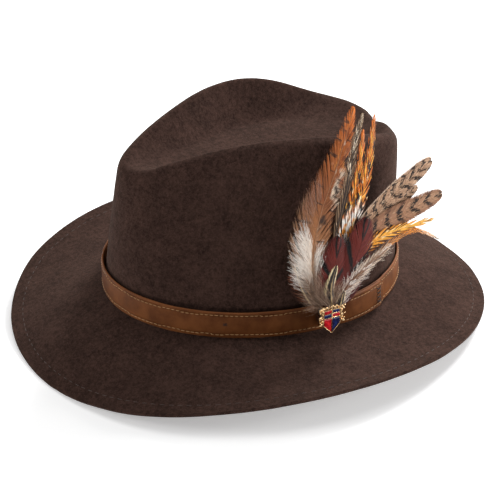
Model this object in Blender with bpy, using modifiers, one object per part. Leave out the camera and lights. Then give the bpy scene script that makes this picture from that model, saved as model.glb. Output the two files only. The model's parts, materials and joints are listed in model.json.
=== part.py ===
"""A fedora in brown wool felt: wide turned-up brim, teardrop crown, stitched leather band and a feather brooch.

Frame: metres, +Z up, the hat standing on its brim on z = 0 with the origin under the middle of the brim.
The front of the hat looks along -Y and the wearer's left side, which carries the brooch, is +X.
Stations run round the hat by an angle: 0 at the front, 90 degrees at the wearer's left, 180 at the back.
"""
import bpy
from math import cos, pi, radians, sin
from mathutils import Matrix, Vector

# Head oval of the felt, just above the brim
OVAL_HALF_LENGTH = 0.1038
OVAL_HALF_WIDTH = 0.0877
OVAL_EGG = 0.0394          # narrower at the front than at the back
OVAL_SHIFT = 0.0008

# Felt and brim
FELT = 0.0022
STATIONS = 60
BRIM_HALF_LENGTH = 0.1662
BRIM_HALF_WIDTH = 0.1583
BRIM_EGG = 0.0339
BRIM_SQUARE = 0.0064
BRIM_EDGE_RISE = 0.0122    # mean height of the brim's top edge
BRIM_CURL = 0.0109         # sides turned up, front and back snapped down
BRIM_TWIST = 0.0017        # the left side highest a little ahead of its middle
BRIM_SAG = 0.0035          # dip of the side brim on its way out
BRIM_DROOP = 1.25          # front and back fall faster towards the edge
BREAK_HEIGHT = 0.0288      # where crown and brim meet
BREAK_TILT = 0.0055
BREAK_RADIUS = 0.0020
STITCH_INSET = 0.87        # place of the brim's stitch row, break to edge

# Crown: the rim of the teardrop dent, and the wall below it
RIM_HALF_LENGTH = 0.0936
RIM_HALF_WIDTH = 0.0537
RIM_SHIFT = 0.0122
RIM_EGG = 0.0080
RIM_HEIGHT = 0.1419
RIM_RADIUS = 0.0074
RIM_BACK_LIFT = 0.0022       # the rim is fuller on both sides of the back
RIM_BACK_ROUND = 0.0015
RIM_BACK_LEFT = (142.0, 26.0)   # angle from the front and spread
RIM_BACK_RIGHT = (161.0, 15.0)
RIM_RIGHT_DIP = (0.0024, 128.0, 20.0)   # depth, angle and spread of the right side's fall
WALL_LEAN = 1.76
DENT_FLOOR = 0.1270           # under the middle of the rim
DENT_SLOPE = 0.09             # the floor falls towards the back
DENT_FLAT = 0.66           # share of the dent that is floor
PINCH_DEPTH = 0.0032
PINCH_ANGLE = 42.0
PINCH_SPREAD = 17.0

# Leather band: one strap, wrapped a little over once round
STRAP = 0.0018
STRAP_HEIGHT = 0.0195
STRAP_GAP = 0.0005
STRAP_LIFT = 0.0022        # where the strap climbs over its own end
STRAP_BOTTOM = 0.0304
OUTER_END = 124.5
UNDER_END = 106.0
CLIMB = 9.0
THREAD_RADIUS = 0.00028
THREAD_GAP = 0.0003
SEAM_INSET = 0.0026

# Sweatband
SWEATBAND = 0.0011
SWEATBAND_HEIGHT = 0.036
SWEATBAND_GAP = 0.0005
SWEATBAND_LEAN = 0.0022
CLUTCH_BULGE = 0.0055
CLUTCH_BULGE_SPREAD = 11.0
PIPING_RADIUS = 0.0010

# Brooch: pinned through the band; p runs to the back, q up, w out from the band
PIN_ANGLE = 93.6
PIN_HEIGHT = 0.0400
POST_RADIUS = 0.0006
POST_HOLE_RADIUS = 0.0011
CLUTCH_RADIUS = 0.0050
CLUTCH_THICKNESS = 0.0026
CLUTCH_GAP = 0.0015
CREST_CENTRE = (-0.0012, 0.0030)
CREST_BACK = 0.0100
CREST_PLATE = 0.0016
ENAMEL = 0.0006
FEATHER = 0.0004
FEATHER_PITCH = 0.00072    # between layers at the quills
FEATHER_SPREAD = 0.00016   # added between layers further out, where they slope
FEATHER_START = 0.0025

MM = 0.001


def station_angle(index, count=STATIONS):
    return 2 * pi * index / count


def oval(angle, grow=0.0):
    """A point on the head oval, grown outwards by the given amount."""
    x = (OVAL_HALF_WIDTH + grow) * sin(angle) * (1 - OVAL_EGG * cos(angle))
    y = OVAL_SHIFT - (OVAL_HALF_LENGTH + grow) * cos(angle)
    return Vector((x, y, 0))


def rim(angle):
    """The highest line of the crown, round the teardrop dent."""
    width = 1 - 0.34 * cos(angle) + 0.12 * cos(2 * angle) - 0.05 * cos(3 * angle) + 0.07 * cos(4 * angle)
    x = RIM_HALF_WIDTH * sin(angle) * width
    y = RIM_SHIFT - RIM_HALF_LENGTH * cos(angle) - RIM_EGG * cos(2 * angle)
    z = RIM_HEIGHT + 0.0100 * cos(angle) - 0.0118 * cos(2 * angle) - 0.0012 * cos(3 * angle)
    side = (angle + pi) % (2 * pi) - pi
    place, spread = RIM_BACK_LEFT if side > 0 else RIM_BACK_RIGHT
    across = (abs(side) - radians(place)) / radians(spread)
    full = 2.718 ** (-across * across)
    x -= RIM_BACK_ROUND * full * (1 if side > 0 else -1)
    if side < 0:
        depth, place, spread = RIM_RIGHT_DIP
        across = (-side - radians(place)) / radians(spread)
        z -= depth * 2.718 ** (-across * across)
    return Vector((x, y + RIM_BACK_ROUND * full, z + RIM_BACK_LIFT * full))


def outward(curve, angle):
    """The level outward normal of a closed curve round the hat."""
    step = 0.001
    along = curve(angle + step) - curve(angle - step)
    return Vector((along.y, -along.x, 0)).normalized()


def break_height(angle):
    return BREAK_HEIGHT + BREAK_TILT * cos(angle) + 0.0005 * cos(2 * angle)


def brim_point(angle, share):
    """The brim's top face, share 0 at the head oval and 1 at the edge."""
    corner = 1 + BRIM_SQUARE * sin(2 * angle) ** 2
    edge = Vector((
        BRIM_HALF_WIDTH * sin(angle) * corner * (1 + BRIM_EGG * cos(angle)),
        -BRIM_HALF_LENGTH * cos(angle) * corner,
        0,
    ))
    point = oval(angle).lerp(edge, share)
    twist = BRIM_TWIST * (1 + sin(angle)) / 2
    edge_z = BRIM_EDGE_RISE - BRIM_CURL * cos(2 * angle) - twist * (cos(3 * angle) - cos(angle))
    snapped = (1 + cos(2 * angle)) / 2
    fall = share + (share ** BRIM_DROOP - share) * snapped
    sag = BRIM_SAG * (1 - snapped) * 4 * share * (1 - share)
    point.z = break_height(angle) + (edge_z - break_height(angle)) * fall - sag
    return point


def wall_point(angle, height):
    """The crown's outer face at a height above the table."""
    foot = oval(angle)
    top = rim(angle)
    shoulder_z = top.z - RIM_RADIUS
    share = (height - break_height(angle)) / (shoulder_z - break_height(angle))
    share = min(max(share, 0.0), 1.0)
    shoulder = Vector((top.x, top.y, 0)) + RIM_RADIUS * outward(rim, angle)
    point = foot.lerp(shoulder, share ** WALL_LEAN)
    side = (angle + pi) % (2 * pi) - pi
    across = (abs(side) - radians(PINCH_ANGLE)) / radians(PINCH_SPREAD)
    pinch = PINCH_DEPTH * 2.718 ** (-across * across) * sin(pi * share ** 1.5)
    point -= pinch * outward(oval, angle)
    point.z = height
    return point


def felt_section(angle):
    """One radial section of the felt's outer face, from the brim's edge to the middle of the dent."""
    points = [brim_point(angle, share) for share in (1.0, 0.94, STITCH_INSET, 0.7, 0.5, 0.3, 0.13)]
    lip = BREAK_RADIUS / (brim_point(angle, 1.0) - brim_point(angle, 0.0)).length
    foot = brim_point(angle, lip)
    low = break_height(angle)
    points.append(foot)
    points.append(foot.lerp(wall_point(angle, low + BREAK_RADIUS), 0.5) - outward(oval, angle) * 0.0003)
    points[-1].z -= 0.0003
    shoulder_z = rim(angle).z - RIM_RADIUS
    for share in (0.0, 0.14, 0.28, 0.42, 0.56, 0.70, 0.82, 0.92, 1.0):
        start = low + BREAK_RADIUS
        points.append(wall_point(angle, start + (shoulder_z - start) * share))
    top = rim(angle)
    side = outward(rim, angle)
    for turn in (30, 60, 90):
        arc = radians(turn)
        points.append(top + RIM_RADIUS * (cos(arc) * side + Vector((0, 0, sin(arc) - 1))))
    for share in (0.94, 0.88, 0.81, 0.74, 0.68, 0.62, 0.42, 0.21):
        rise = max(0.0, (share - DENT_FLAT) / (1 - DENT_FLAT))
        point = Vector((top.x * share, RIM_SHIFT + (top.y - RIM_SHIFT) * share, 0))
        floor = DENT_FLOOR - DENT_SLOPE * (point.y - RIM_SHIFT)
        point.z = floor + (top.z - floor) * rise ** 1.4
        points.append(point)
    return points


# ---------------------------------------------------------------- scene helpers

def make_collection(name):
    collection = bpy.data.collections.new(name)
    bpy.context.scene.collection.children.link(collection)
    return collection


def make_material(name, colour, roughness, metallic=0.0):
    material = bpy.data.materials.new(name)
    material.use_nodes = True
    shader = material.node_tree.nodes["Principled BSDF"]
    shader.inputs["Base Color"].default_value = (*colour, 1.0)
    shader.inputs["Roughness"].default_value = roughness
    shader.inputs["Metallic"].default_value = metallic
    return material


def add_object(name, data, finish):
    """Link a new sub-part, with its own material, into the hat's collection."""
    colour, roughness, metallic = FINISHES[finish]
    data.materials.append(make_material(name, colour, roughness, metallic))
    part = bpy.data.objects.new(name, data)
    HAT.objects.link(part)
    return part


def add_mesh(name, points, faces, finish, smooth=True):
    mesh = bpy.data.meshes.new(name)
    mesh.from_pydata([tuple(point) for point in points], [], faces)
    mesh.validate()
    mesh.update()
    if smooth:
        mesh.shade_smooth()
        mesh.set_sharp_from_angle(angle=radians(40))
    return add_object(name, mesh, finish)


def solidify(part, thickness, offset):
    shell = part.modifiers.new("thickness", "SOLIDIFY")
    shell.thickness = thickness
    shell.offset = offset
    shell.use_even_offset = True
    return shell


def loft(name, sections, finish, closed_round=True, closed_section=False):
    """Faces between neighbouring sections of equal length."""
    length = len(sections[0])
    points = [point for section in sections for point in section]
    faces = []
    for index in range(len(sections) if closed_round else len(sections) - 1):
        following = (index + 1) % len(sections)
        for step in range(length if closed_section else length - 1):
            after = (step + 1) % length
            faces.append((index * length + step, following * length + step,
                          following * length + after, index * length + after))
    if closed_section and not closed_round:
        faces.append(tuple(range(length)))
        last = (len(sections) - 1) * length
        faces.append(tuple(last + step for step in reversed(range(length))))
    return add_mesh(name, points, faces, finish)


def tube(name, routes, radius, finish, closed=False, resolution=0):
    """One or more round threads, each along its own points."""
    curve = bpy.data.curves.new(name, "CURVE")
    curve.dimensions = "3D"
    curve.bevel_depth = radius
    curve.bevel_resolution = resolution
    curve.use_fill_caps = True
    for route in routes:
        spline = curve.splines.new("POLY")
        spline.points.add(len(route) - 1)
        for slot, point in zip(spline.points, route):
            slot.co = (*point, 1.0)
        spline.use_cyclic_u = closed
    return add_object(name, curve, finish)


def plate(name, outlines, thickness, finish):
    """A flat outline, holes included, as thick as given, centred on its own plane."""
    curve = bpy.data.curves.new(name, "CURVE")
    curve.dimensions = "2D"
    curve.fill_mode = "BOTH"
    curve.extrude = thickness / 2
    for outline in outlines:
        spline = curve.splines.new("POLY")
        spline.points.add(len(outline) - 1)
        for slot, (x, y) in zip(spline.points, outline):
            slot.co = (x, y, 0.0, 1.0)
        spline.use_cyclic_u = True
    return add_object(name, curve, finish)


def circle(radius, count, centre=(0.0, 0.0), squeeze=1.0):
    return [(centre[0] + radius * cos(station_angle(i, count)),
             centre[1] + squeeze * radius * sin(station_angle(i, count))) for i in range(count)]


def add_cutter(name, part, object_data, matrix):
    cutter = bpy.data.objects.new(name, object_data)
    cutter.matrix_world = matrix
    cutter.hide_render = True
    cutter.display_type = "WIRE"
    CUTTERS.objects.link(cutter)
    cut = part.modifiers.new(name, "BOOLEAN")
    cut.operation = "DIFFERENCE"
    cut.solver = "EXACT"
    cut.object = cutter
    return cutter


def cylinder_mesh(name, radius, depth, sides=16):
    """A capped cylinder along local Z, centred on its origin."""
    bpy.ops.mesh.primitive_cylinder_add(vertices=sides, radius=radius, depth=depth)
    maker = bpy.context.active_object
    mesh = maker.data
    mesh.name = name
    bpy.data.objects.remove(maker)
    return mesh


# ---------------------------------------------------------------- felt and band

def build_felt():
    sections = [felt_section(station_angle(i)) for i in range(STATIONS)]
    length = len(sections[0])
    points = [point for section in sections for point in section]
    points.append(Vector((0, RIM_SHIFT, DENT_FLOOR)))
    pole = len(points) - 1
    faces = []
    for index in range(STATIONS):
        following = (index + 1) % STATIONS
        for step in range(length - 1):
            faces.append((index * length + step, following * length + step,
                          following * length + step + 1, index * length + step + 1))
        faces.append((index * length + length - 1, following * length + length - 1, pole))
    felt = add_mesh("felt_body", points, faces, "felt")
    solidify(felt, FELT, -1.0)
    bpy.ops.mesh.primitive_cube_add(size=1.0)
    block = bpy.context.active_object
    slab = block.data
    bpy.data.objects.remove(block)
    flat = Matrix.Translation((0, 0, -0.02)) @ Matrix.Diagonal((0.5, 0.5, 0.04, 1.0))
    add_cutter("table_plane", felt, slab, flat)
    cut_pin_hole(felt, "felt_pin_hole")
    return felt


def build_brim_thread():
    route = []
    for index in range(STATIONS):
        angle = station_angle(index)
        point = brim_point(angle, STITCH_INSET)
        across = brim_point(angle, 0.94) - brim_point(angle, 0.7)
        along = brim_point(angle + 0.01, STITCH_INSET) - brim_point(angle - 0.01, STITCH_INSET)
        up = across.cross(along).normalized()
        route.append(point + up * (THREAD_GAP + THREAD_RADIUS * 1.3))
    return tube("brim_thread", [route], THREAD_RADIUS, "felt_thread", closed=True)


def strap_turn(degrees):
    """How far the strap stands off the felt's oval at a place along its wrap."""
    climb = min(max((degrees - (UNDER_END - CLIMB)) / CLIMB, 0.0), 1.0)
    return STRAP_GAP + STRAP_LIFT * climb * climb * (3 - 2 * climb)


def strap_places():
    """Places along the wrap, on the felt's own stations plus the strap's two ends."""
    step = 360 / STATIONS
    first = UNDER_END - 360
    places = [first]
    place = (first // step + 1) * step
    while place < OUTER_END - 0.5:
        places.append(place)
        place += step if place < UNDER_END - CLIMB - step else step / 2
    return places + [OUTER_END]


def strap_point(degrees, height, depth):
    """A point on the strap; height 0 to 1 from its lower edge, depth in from its outer face."""
    angle = radians(degrees)
    point = oval(angle)
    point += outward(oval, angle) * (strap_turn(degrees) + STRAP - depth)
    point.z = STRAP_BOTTOM + BREAK_TILT * cos(angle) + 0.0005 * cos(2 * angle) + STRAP_HEIGHT * height
    return point


def build_band():
    sections = []
    for degrees in strap_places():
        sections.append([strap_point(degrees, 0, 0), strap_point(degrees, 0, STRAP),
                         strap_point(degrees, 1, STRAP), strap_point(degrees, 1, 0)])
    band = loft("leather_band", sections, "leather", closed_round=False, closed_section=True)
    cut_pin_hole(band, "band_pin_hole")
    return band


def build_band_threads():
    """Two rows of stitching, near the upper and the lower edge of the visible wrap."""
    stand_off = -(THREAD_GAP + THREAD_RADIUS)
    visible = [place for place in strap_places() if place > OUTER_END - 360 + 1.0]
    visible = [OUTER_END - 360 + 1.0] + visible[:-1] + [OUTER_END - 1.0]
    inset = SEAM_INSET / STRAP_HEIGHT
    for name, height in (("band_thread_upper", 1 - inset), ("band_thread_lower", inset)):
        tube(name, [[strap_point(place, height, stand_off) for place in visible]],
             THREAD_RADIUS, "tan_thread")


def build_band_stitches():
    """Dark zigzag stitching that holds the strap's end down, and one tack at its side."""
    stand_off = -(THREAD_GAP + 0.0003)
    zigzag = [(OUTER_END - 2.7 + 0.7 * (-1) ** row, 0.22 + 0.08 * row) for row in range(8)]
    tack = [(54.5, 0.52), (55.4, 0.57), (56.4, 0.50)]
    for name, places in (("band_end_stitches", zigzag), ("band_tack", tack)):
        route = [strap_point(place, height, stand_off) for place, height in places]
        tube(name, [route], 0.0003, "dark_thread")


# ---------------------------------------------------------------- inside the crown

def inner_point(angle, height, stand_off):
    """A point inside the crown, off the felt's inner face by the given distance."""
    return wall_point(angle, height) - outward(oval, angle) * (FELT + stand_off)


def sweatband_stand_off(angle, share):
    """The sweatband leans in towards its free edge and passes over the pin's clutch."""
    away = (angle - radians(PIN_ANGLE)) / radians(CLUTCH_BULGE_SPREAD)
    bulge = CLUTCH_BULGE * 2.718 ** (-away * away * away * away)
    return SWEATBAND_GAP + SWEATBAND_LEAN * share + bulge


def sweatband_point(angle, share, depth):
    height = break_height(angle) - 0.0005 + SWEATBAND_HEIGHT * share
    return inner_point(angle, height, sweatband_stand_off(angle, share) + depth)


def build_sweatband():
    sections = []
    shares = (0.0, 0.2, 0.45, 0.7, 1.0)
    for index in range(STATIONS):
        angle = station_angle(index)
        outer = [sweatband_point(angle, share, 0) for share in shares]
        inner = [sweatband_point(angle, share, SWEATBAND) for share in reversed(shares)]
        sections.append(outer + inner)
    loft("sweatband", sections, "sweat_leather", closed_section=True)
    angles = [station_angle(i) for i in range(STATIONS)]
    seam = [sweatband_point(angle, 0.08, SWEATBAND + THREAD_GAP + 1.4 * THREAD_RADIUS) for angle in angles]
    tube("sweatband_thread", [seam], THREAD_RADIUS, "tan_thread", closed=True)
    piping = []
    for angle in angles:
        point = sweatband_point(angle, 0.0, SWEATBAND / 2)
        piping.append(point - Vector((0, 0, PIPING_RADIUS + 0.0004)))
    tube("sweatband_piping", [piping], PIPING_RADIUS, "reed", closed=True, resolution=1)


def build_bow():
    """The flat ribbon bow over the sweatband's back seam."""
    wing = [(0.0012, 0.0012), (0.0060, 0.0030), (0.0092, 0.0026), (0.0098, 0.0),
            (0.0092, -0.0026), (0.0060, -0.0030), (0.0012, -0.0012)]
    outline = wing + [(-x, -y) for x, y in wing]
    bow = plate("sweatband_bow", [outline], 0.0008, "ribbon")
    back = pi
    place = sweatband_point(back, 0.26, SWEATBAND + 0.0020)
    upper = sweatband_point(back, 0.36, SWEATBAND + 0.0020)
    rise = (upper - place).normalized()
    across = Vector((1, 0, 0))
    facing = across.cross(rise)
    bow.matrix_world = frame_matrix(across, rise, facing, place)


# ---------------------------------------------------------------- brooch

def frame_matrix(x_axis, y_axis, z_axis, origin):
    matrix = Matrix((x_axis, y_axis, z_axis)).transposed().to_4x4()
    matrix.translation = origin
    return matrix


def brooch_frame():
    """Origin where the pin enters the band; local X to the back, Y up, Z straight out."""
    angle = radians(PIN_ANGLE)
    origin = oval(angle) + outward(oval, angle) * (STRAP_GAP + STRAP)
    origin.z = PIN_HEIGHT
    out = outward(oval, angle)
    step = 0.001
    ahead = strap_point(PIN_ANGLE + step, 0, 0)
    behind = strap_point(PIN_ANGLE - step, 0, 0)
    back = (ahead - behind).normalized()
    up = out.cross(back).normalized()
    return frame_matrix(back, up, out, origin)


def cut_pin_hole(part, name):
    hole = cylinder_mesh(name, POST_HOLE_RADIUS, 0.016, sides=12)
    add_cutter(name, part, hole, BROOCH @ Matrix.Translation((0, 0, -0.004)))


def place_on_brooch(part, x=0.0, y=0.0, z=0.0):
    part.matrix_world = BROOCH @ Matrix.Translation((x, y, z))


def build_clutch():
    """The round clutch that grips the pin behind the felt: a turned ring."""
    outer = CLUTCH_RADIUS
    half = CLUTCH_THICKNESS / 2
    bore = POST_RADIUS + 0.0004
    profile = [(bore, half), (outer * 0.5, half), (outer * 0.6, half * 0.55), (outer, half * 0.35),
               (outer, -half), (bore, -half)]
    mesh = bpy.data.meshes.new("pin_clutch")
    edges = [(i, (i + 1) % len(profile)) for i in range(len(profile))]
    mesh.from_pydata([(x, 0, -z) for x, z in profile], edges, [])
    clutch = add_object("pin_clutch", mesh, "steel")
    turn = clutch.modifiers.new("turn", "SCREW")
    turn.steps = 20
    turn.render_steps = 20
    turn.merge_threshold = 0.00001
    turn.use_normal_calculate = True
    depth = STRAP + STRAP_GAP + FELT
    place_on_brooch(clutch, z=-(depth + CLUTCH_GAP + half))


def build_post():
    inner_end = -(STRAP + STRAP_GAP + FELT + CLUTCH_GAP + CLUTCH_THICKNESS)
    outer_end = CREST_BACK - 0.0003
    mesh = cylinder_mesh("pin_post", POST_RADIUS, outer_end - inner_end, sides=12)
    post = add_object("pin_post", mesh, "steel")
    place_on_brooch(post, z=(outer_end + inner_end) / 2)


def crest_outline():
    """The badge: a shield between two scrolls, under a row of five studs."""
    half = 9.7 * MM
    right = [(2.2 * MM, 9.6 * MM), (4.2 * MM, 9.4 * MM), (6.3 * MM, 9.9 * MM), (8.2 * MM, 8.8 * MM),
             (half, 6.0 * MM), (8.2 * MM, 3.4 * MM), (half, 0.6 * MM), (9.4 * MM, -3.2 * MM),
             (7.4 * MM, -5.0 * MM), (4.6 * MM, -8.2 * MM), (0.0, -11.0 * MM)]
    left = [(-x, y) for x, y in reversed(right[:-1])]
    return [(0.0, 11.0 * MM)] + right + left


def build_crest():
    base_x, base_y = CREST_CENTRE
    crest = plate("crest_plate", [list(reversed(crest_outline()))], CREST_PLATE, "gold")
    place_on_brooch(crest, base_x, base_y, CREST_BACK + CREST_PLATE / 2)
    face = CREST_BACK + CREST_PLATE + 0.0003 + ENAMEL / 2
    fields = {
        "enamel_red": ("red_enamel", [(-5.6, 0.6), (-0.4, 0.6), (-0.4, -8.2), (-4.0, -5.4), (-5.6, -2.4)]),
        "enamel_blue": ("blue_enamel", [(0.4, 0.6), (5.6, 0.6), (5.6, -2.4), (4.0, -5.4), (0.4, -8.2)]),
        "enamel_chief": ("blue_enamel", [(-5.6, 1.4), (5.6, 1.4), (5.6, 6.2), (-5.6, 6.2)]),
    }
    for name, (finish, outline) in fields.items():
        field = plate(name, [[(x * MM, y * MM) for x, y in outline]], ENAMEL, finish)
        place_on_brooch(field, base_x, base_y, face)


def build_spray_mount():
    """The leather disc behind the quills, and the crimped ferrule that gathers them."""
    backing = plate("spray_backing", [circle(0.0078, 20, (0, 0.002), 1.1), circle(POST_HOLE_RADIUS, 10)],
                    0.0005, "leather")
    place_on_brooch(backing, z=0.00135)
    depth_low = FEATHER_START - 0.0006
    depth_high = CREST_BACK - 0.0003
    width = 0.0066
    outline = [(-width, depth_low), (width, depth_low), (width, depth_high), (-width, depth_high)]
    hole = [(-width + 0.0005, depth_low + 0.0003), (width - 0.0005, depth_low + 0.0003),
            (width - 0.0005, depth_high - 0.0003), (-width + 0.0005, depth_high - 0.0003)]
    ferrule = plate("quill_ferrule", [outline, hole], 0.004, "steel")
    stand = Matrix.Translation((0, 0.0052, 0)) @ Matrix.Rotation(radians(90), 4, "X")
    ferrule.matrix_world = BROOCH @ stand


def blade_height(p, q, layer):
    """Height of a feather's layer over the brooch's plane; the spray leans in with the crown wall."""
    lean = -0.030 * (max(q - 0.010, 0.0) / 0.127) ** 1.7 - 0.006 * (max(p - 0.006, 0.0) / 0.080) ** 2
    spread = FEATHER_SPREAD * min(1.0, max(0.0, (q + abs(p) - 0.010) / 0.040))
    return FEATHER_START + layer * (FEATHER_PITCH + spread) + lean


def smooth_route(points, shares):
    """Points at the given shares of a smooth curve through a few guide points."""
    guides = [points[0]] + list(points) + [points[-1]]
    spans = len(points) - 1
    route = []
    for share in shares:
        place = share * spans
        span = min(int(place), spans - 1)
        t = place - span
        a, b, c, d = (Vector(guide) for guide in guides[span:span + 4])
        route.append(0.5 * (2 * b + (c - a) * t + (2 * a - 5 * b + 4 * c - d) * t * t
                            + (3 * b - a - 3 * c + d) * t * t * t))
    return route


def vane_width(share, start, blunt):
    """Half width of a feather along its length, as a share of its widest."""
    if share <= start:
        return 0.0
    local = (share - start) / (1 - start)
    rise = min(1.0, local / 0.28) ** 0.7
    close = max(0.0, 1 - local ** blunt) ** 0.6
    return rise * close


def build_feather(name, finish, layer, half_width, start, blunt, guides):
    """A thin blade on its layer of the spray; guides run from the quill to the tip in millimetres."""
    count = 11
    quill = 0.00045
    shares = [1 - (1 - index / count) ** 1.5 for index in range(count + 1)]
    route = smooth_route([(p * MM, q * MM) for p, q in guides], shares)
    sections = []
    for index, centre in enumerate(route):
        before = route[max(index - 1, 0)]
        after = route[min(index + 1, count)]
        along = (after - before).normalized()
        across = Vector((-along.y, along.x))
        half = max(quill, half_width * MM * vane_width(shares[index], start, blunt))
        section = []
        for side in (1, 0, -1):
            p, q = centre + across * half * side
            section.append(BROOCH @ Vector((p, q, blade_height(p, q, layer))))
        sections.append(section)
    blade = loft(name, sections, finish, closed_round=False)
    solidify(blade, FEATHER, 0.0)


# name, finish, layer, half width, where the vane starts, tip bluntness, guide points
FEATHERS = (
    ("feather_spangled", "dark_feather", 0, 4.2, 0.48, 1.6,
     ((-4.2, 3.8), (-4, 9), (0, 24), (9, 56), (21.4, 88), (30, 111), (41.4, 131))),
    ("feather_tail_short", "buff_feather", 0, 5.2, 0.42, 3.5,
     ((4.0, 3.8), (5.4, 8), (11, 22), (28, 46), (54, 64), (79, 73.5))),
    ("feather_orange_middle", "orange_feather", 1, 4.6, 0.56, 1.8,
     ((-4.2, 3.8), (-3.6, 9), (1, 24), (10, 48), (20, 68), (30.3, 93), (39, 121.5))),
    ("feather_tail_long", "buff_feather", 1, 6.0, 0.50, 8.0,
     ((4.0, 3.8), (5.4, 8), (11, 26), (19, 46), (34, 60.5), (61, 76), (93, 88.5))),
    ("feather_orange_right", "orange_feather", 2, 5.0, 0.48, 1.8,
     ((-4.2, 3.8), (-3, 9), (3, 24), (14, 46), (27, 72), (38.5, 98), (49.4, 129.7))),
    ("feather_tail_broad", "brown_feather", 2, 7.2, 0.42, 5.0,
     ((4.0, 3.8), (5.4, 8), (12, 24), (26, 46), (46, 56.5), (71.5, 61), (98.8, 64))),
    ("feather_hackle_left", "rust_feather", 3, 15.0, 0.28, 1.15,
     ((-4.0, 3.8), (-5, 8), (-11, 24), (-13, 46), (-5, 74), (9.5, 98), (21.5, 118), (33.6, 137.3))),
    ("feather_yellow", "yellow_feather", 3, 5.0, 0.42, 2.0,
     ((4.0, 3.8), (5.4, 8), (12, 22), (22, 38), (37, 47), (58, 50), (89.6, 49.3))),
    ("feather_wisp", "rust_feather", 4, 2.6, 0.45, 2.0,
     ((4.0, 3.8), (5.4, 8), (15, 19), (34, 36), (56, 44.8), (73, 46), (93, 33.4))),
    ("feather_maroon_left", "maroon_feather", 4, 8.5, 0.36, 3.0,
     ((-3.6, 3.8), (-5, 8), (-13, 19), (-22, 30), (-31, 40))),
    ("feather_fluffy_right", "brown_feather", 5, 7.0, 0.30, 2.0,
     ((4.0, 3.8), (5.2, 8), (11, 17), (21, 25.5), (38, 33), (56, 41))),
    ("feather_black_left", "dark_feather", 5, 3.6, 0.36, 3.0,
     ((-3.6, 3.8), (-5, 8), (-12, 17), (-19, 28), (-26.3, 45.4))),
    ("feather_maroon_upper", "maroon_feather", 6, 13.5, 0.24, 5.0,
     ((2.6, 3.8), (3.4, 8), (8, 18), (15, 34), (24, 50), (32, 66))),
    ("feather_maroon_lower", "maroon_feather", 7, 12.0, 0.24, 5.0,
     ((0.4, 3.8), (0.6, 8), (2, 18), (5, 30), (9, 41), (14, 55))),
    ("feather_black_middle", "dark_feather", 8, 3.6, 0.34, 3.0,
     ((-1.0, 3.8), (-1.6, 8), (-4, 18), (-3, 28), (4.6, 41))),
    ("feather_black_right", "dark_feather", 8, 3.0, 0.34, 3.0,
     ((3.6, 3.8), (4.2, 8), (5.4, 13), (7.4, 17), (11.1, 22))),
    ("down_tuft", "down", 9, 10.5, 0.0, 3.0,
     ((-9, 12), (-14, 18), (-17, 27), (-15, 37))),
)

FINISHES = {
    "felt": ((0.055, 0.036, 0.028), 0.95, 0.0),
    "felt_thread": ((0.045, 0.03, 0.024), 0.8, 0.0),
    "leather": ((0.30, 0.13, 0.05), 0.5, 0.0),
    "tan_thread": ((0.55, 0.33, 0.14), 0.7, 0.0),
    "dark_thread": ((0.05, 0.03, 0.02), 0.8, 0.0),
    "sweat_leather": ((0.12, 0.07, 0.045), 0.55, 0.0),
    "reed": ((0.10, 0.06, 0.04), 0.6, 0.0),
    "ribbon": ((0.06, 0.035, 0.025), 0.5, 0.0),
    "steel": ((0.6, 0.58, 0.52), 0.3, 1.0),
    "gold": ((0.85, 0.55, 0.22), 0.25, 1.0),
    "red_enamel": ((0.6, 0.02, 0.03), 0.15, 0.0),
    "blue_enamel": ((0.03, 0.06, 0.25), 0.15, 0.0),
    "dark_feather": ((0.05, 0.04, 0.035), 0.6, 0.0),
    "orange_feather": ((0.65, 0.22, 0.03), 0.5, 0.0),
    "yellow_feather": ((0.72, 0.36, 0.05), 0.5, 0.0),
    "rust_feather": ((0.38, 0.14, 0.05), 0.6, 0.0),
    "brown_feather": ((0.30, 0.17, 0.11), 0.6, 0.0),
    "buff_feather": ((0.45, 0.32, 0.22), 0.6, 0.0),
    "maroon_feather": ((0.13, 0.02, 0.02), 0.4, 0.0),
    "down": ((0.35, 0.26, 0.20), 0.9, 0.0),
}


for old in list(bpy.data.objects):
    bpy.data.objects.remove(old)
HAT = make_collection("fedora")
CUTTERS = make_collection("cutters")
BROOCH = brooch_frame()

build_felt()
build_brim_thread()
build_band()
build_band_threads()
build_band_stitches()
build_sweatband()
build_bow()
build_clutch()
build_post()
build_crest()
build_spray_mount()
for feather in FEATHERS:
    build_feather(*feather)
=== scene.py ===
"""Looks of the brown wool felt fedora: felt, leather band, sweatband, enamelled badge and feather spray."""

import json
import random
from math import cos, pi, radians, sin

import bmesh
import bpy
import numpy as np
from mathutils import Matrix, Vector, noise
from mathutils.bvhtree import BVHTree


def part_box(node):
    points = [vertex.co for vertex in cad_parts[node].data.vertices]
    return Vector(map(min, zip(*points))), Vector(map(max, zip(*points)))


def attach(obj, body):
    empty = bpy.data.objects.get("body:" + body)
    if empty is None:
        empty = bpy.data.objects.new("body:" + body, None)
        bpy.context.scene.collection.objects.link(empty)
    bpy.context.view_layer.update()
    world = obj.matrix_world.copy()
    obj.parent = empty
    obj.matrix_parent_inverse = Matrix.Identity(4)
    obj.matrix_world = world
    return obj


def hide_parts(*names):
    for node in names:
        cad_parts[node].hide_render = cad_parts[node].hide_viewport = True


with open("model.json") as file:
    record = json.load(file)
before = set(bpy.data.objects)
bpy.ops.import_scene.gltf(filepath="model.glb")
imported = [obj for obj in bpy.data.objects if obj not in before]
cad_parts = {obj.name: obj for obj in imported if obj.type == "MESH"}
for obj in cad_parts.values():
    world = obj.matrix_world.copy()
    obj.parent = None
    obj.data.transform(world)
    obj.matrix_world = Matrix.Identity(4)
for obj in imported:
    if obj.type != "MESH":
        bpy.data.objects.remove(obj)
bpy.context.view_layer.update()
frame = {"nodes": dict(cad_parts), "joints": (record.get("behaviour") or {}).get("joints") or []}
NODES = frame["nodes"]
MM = 0.001


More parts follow.
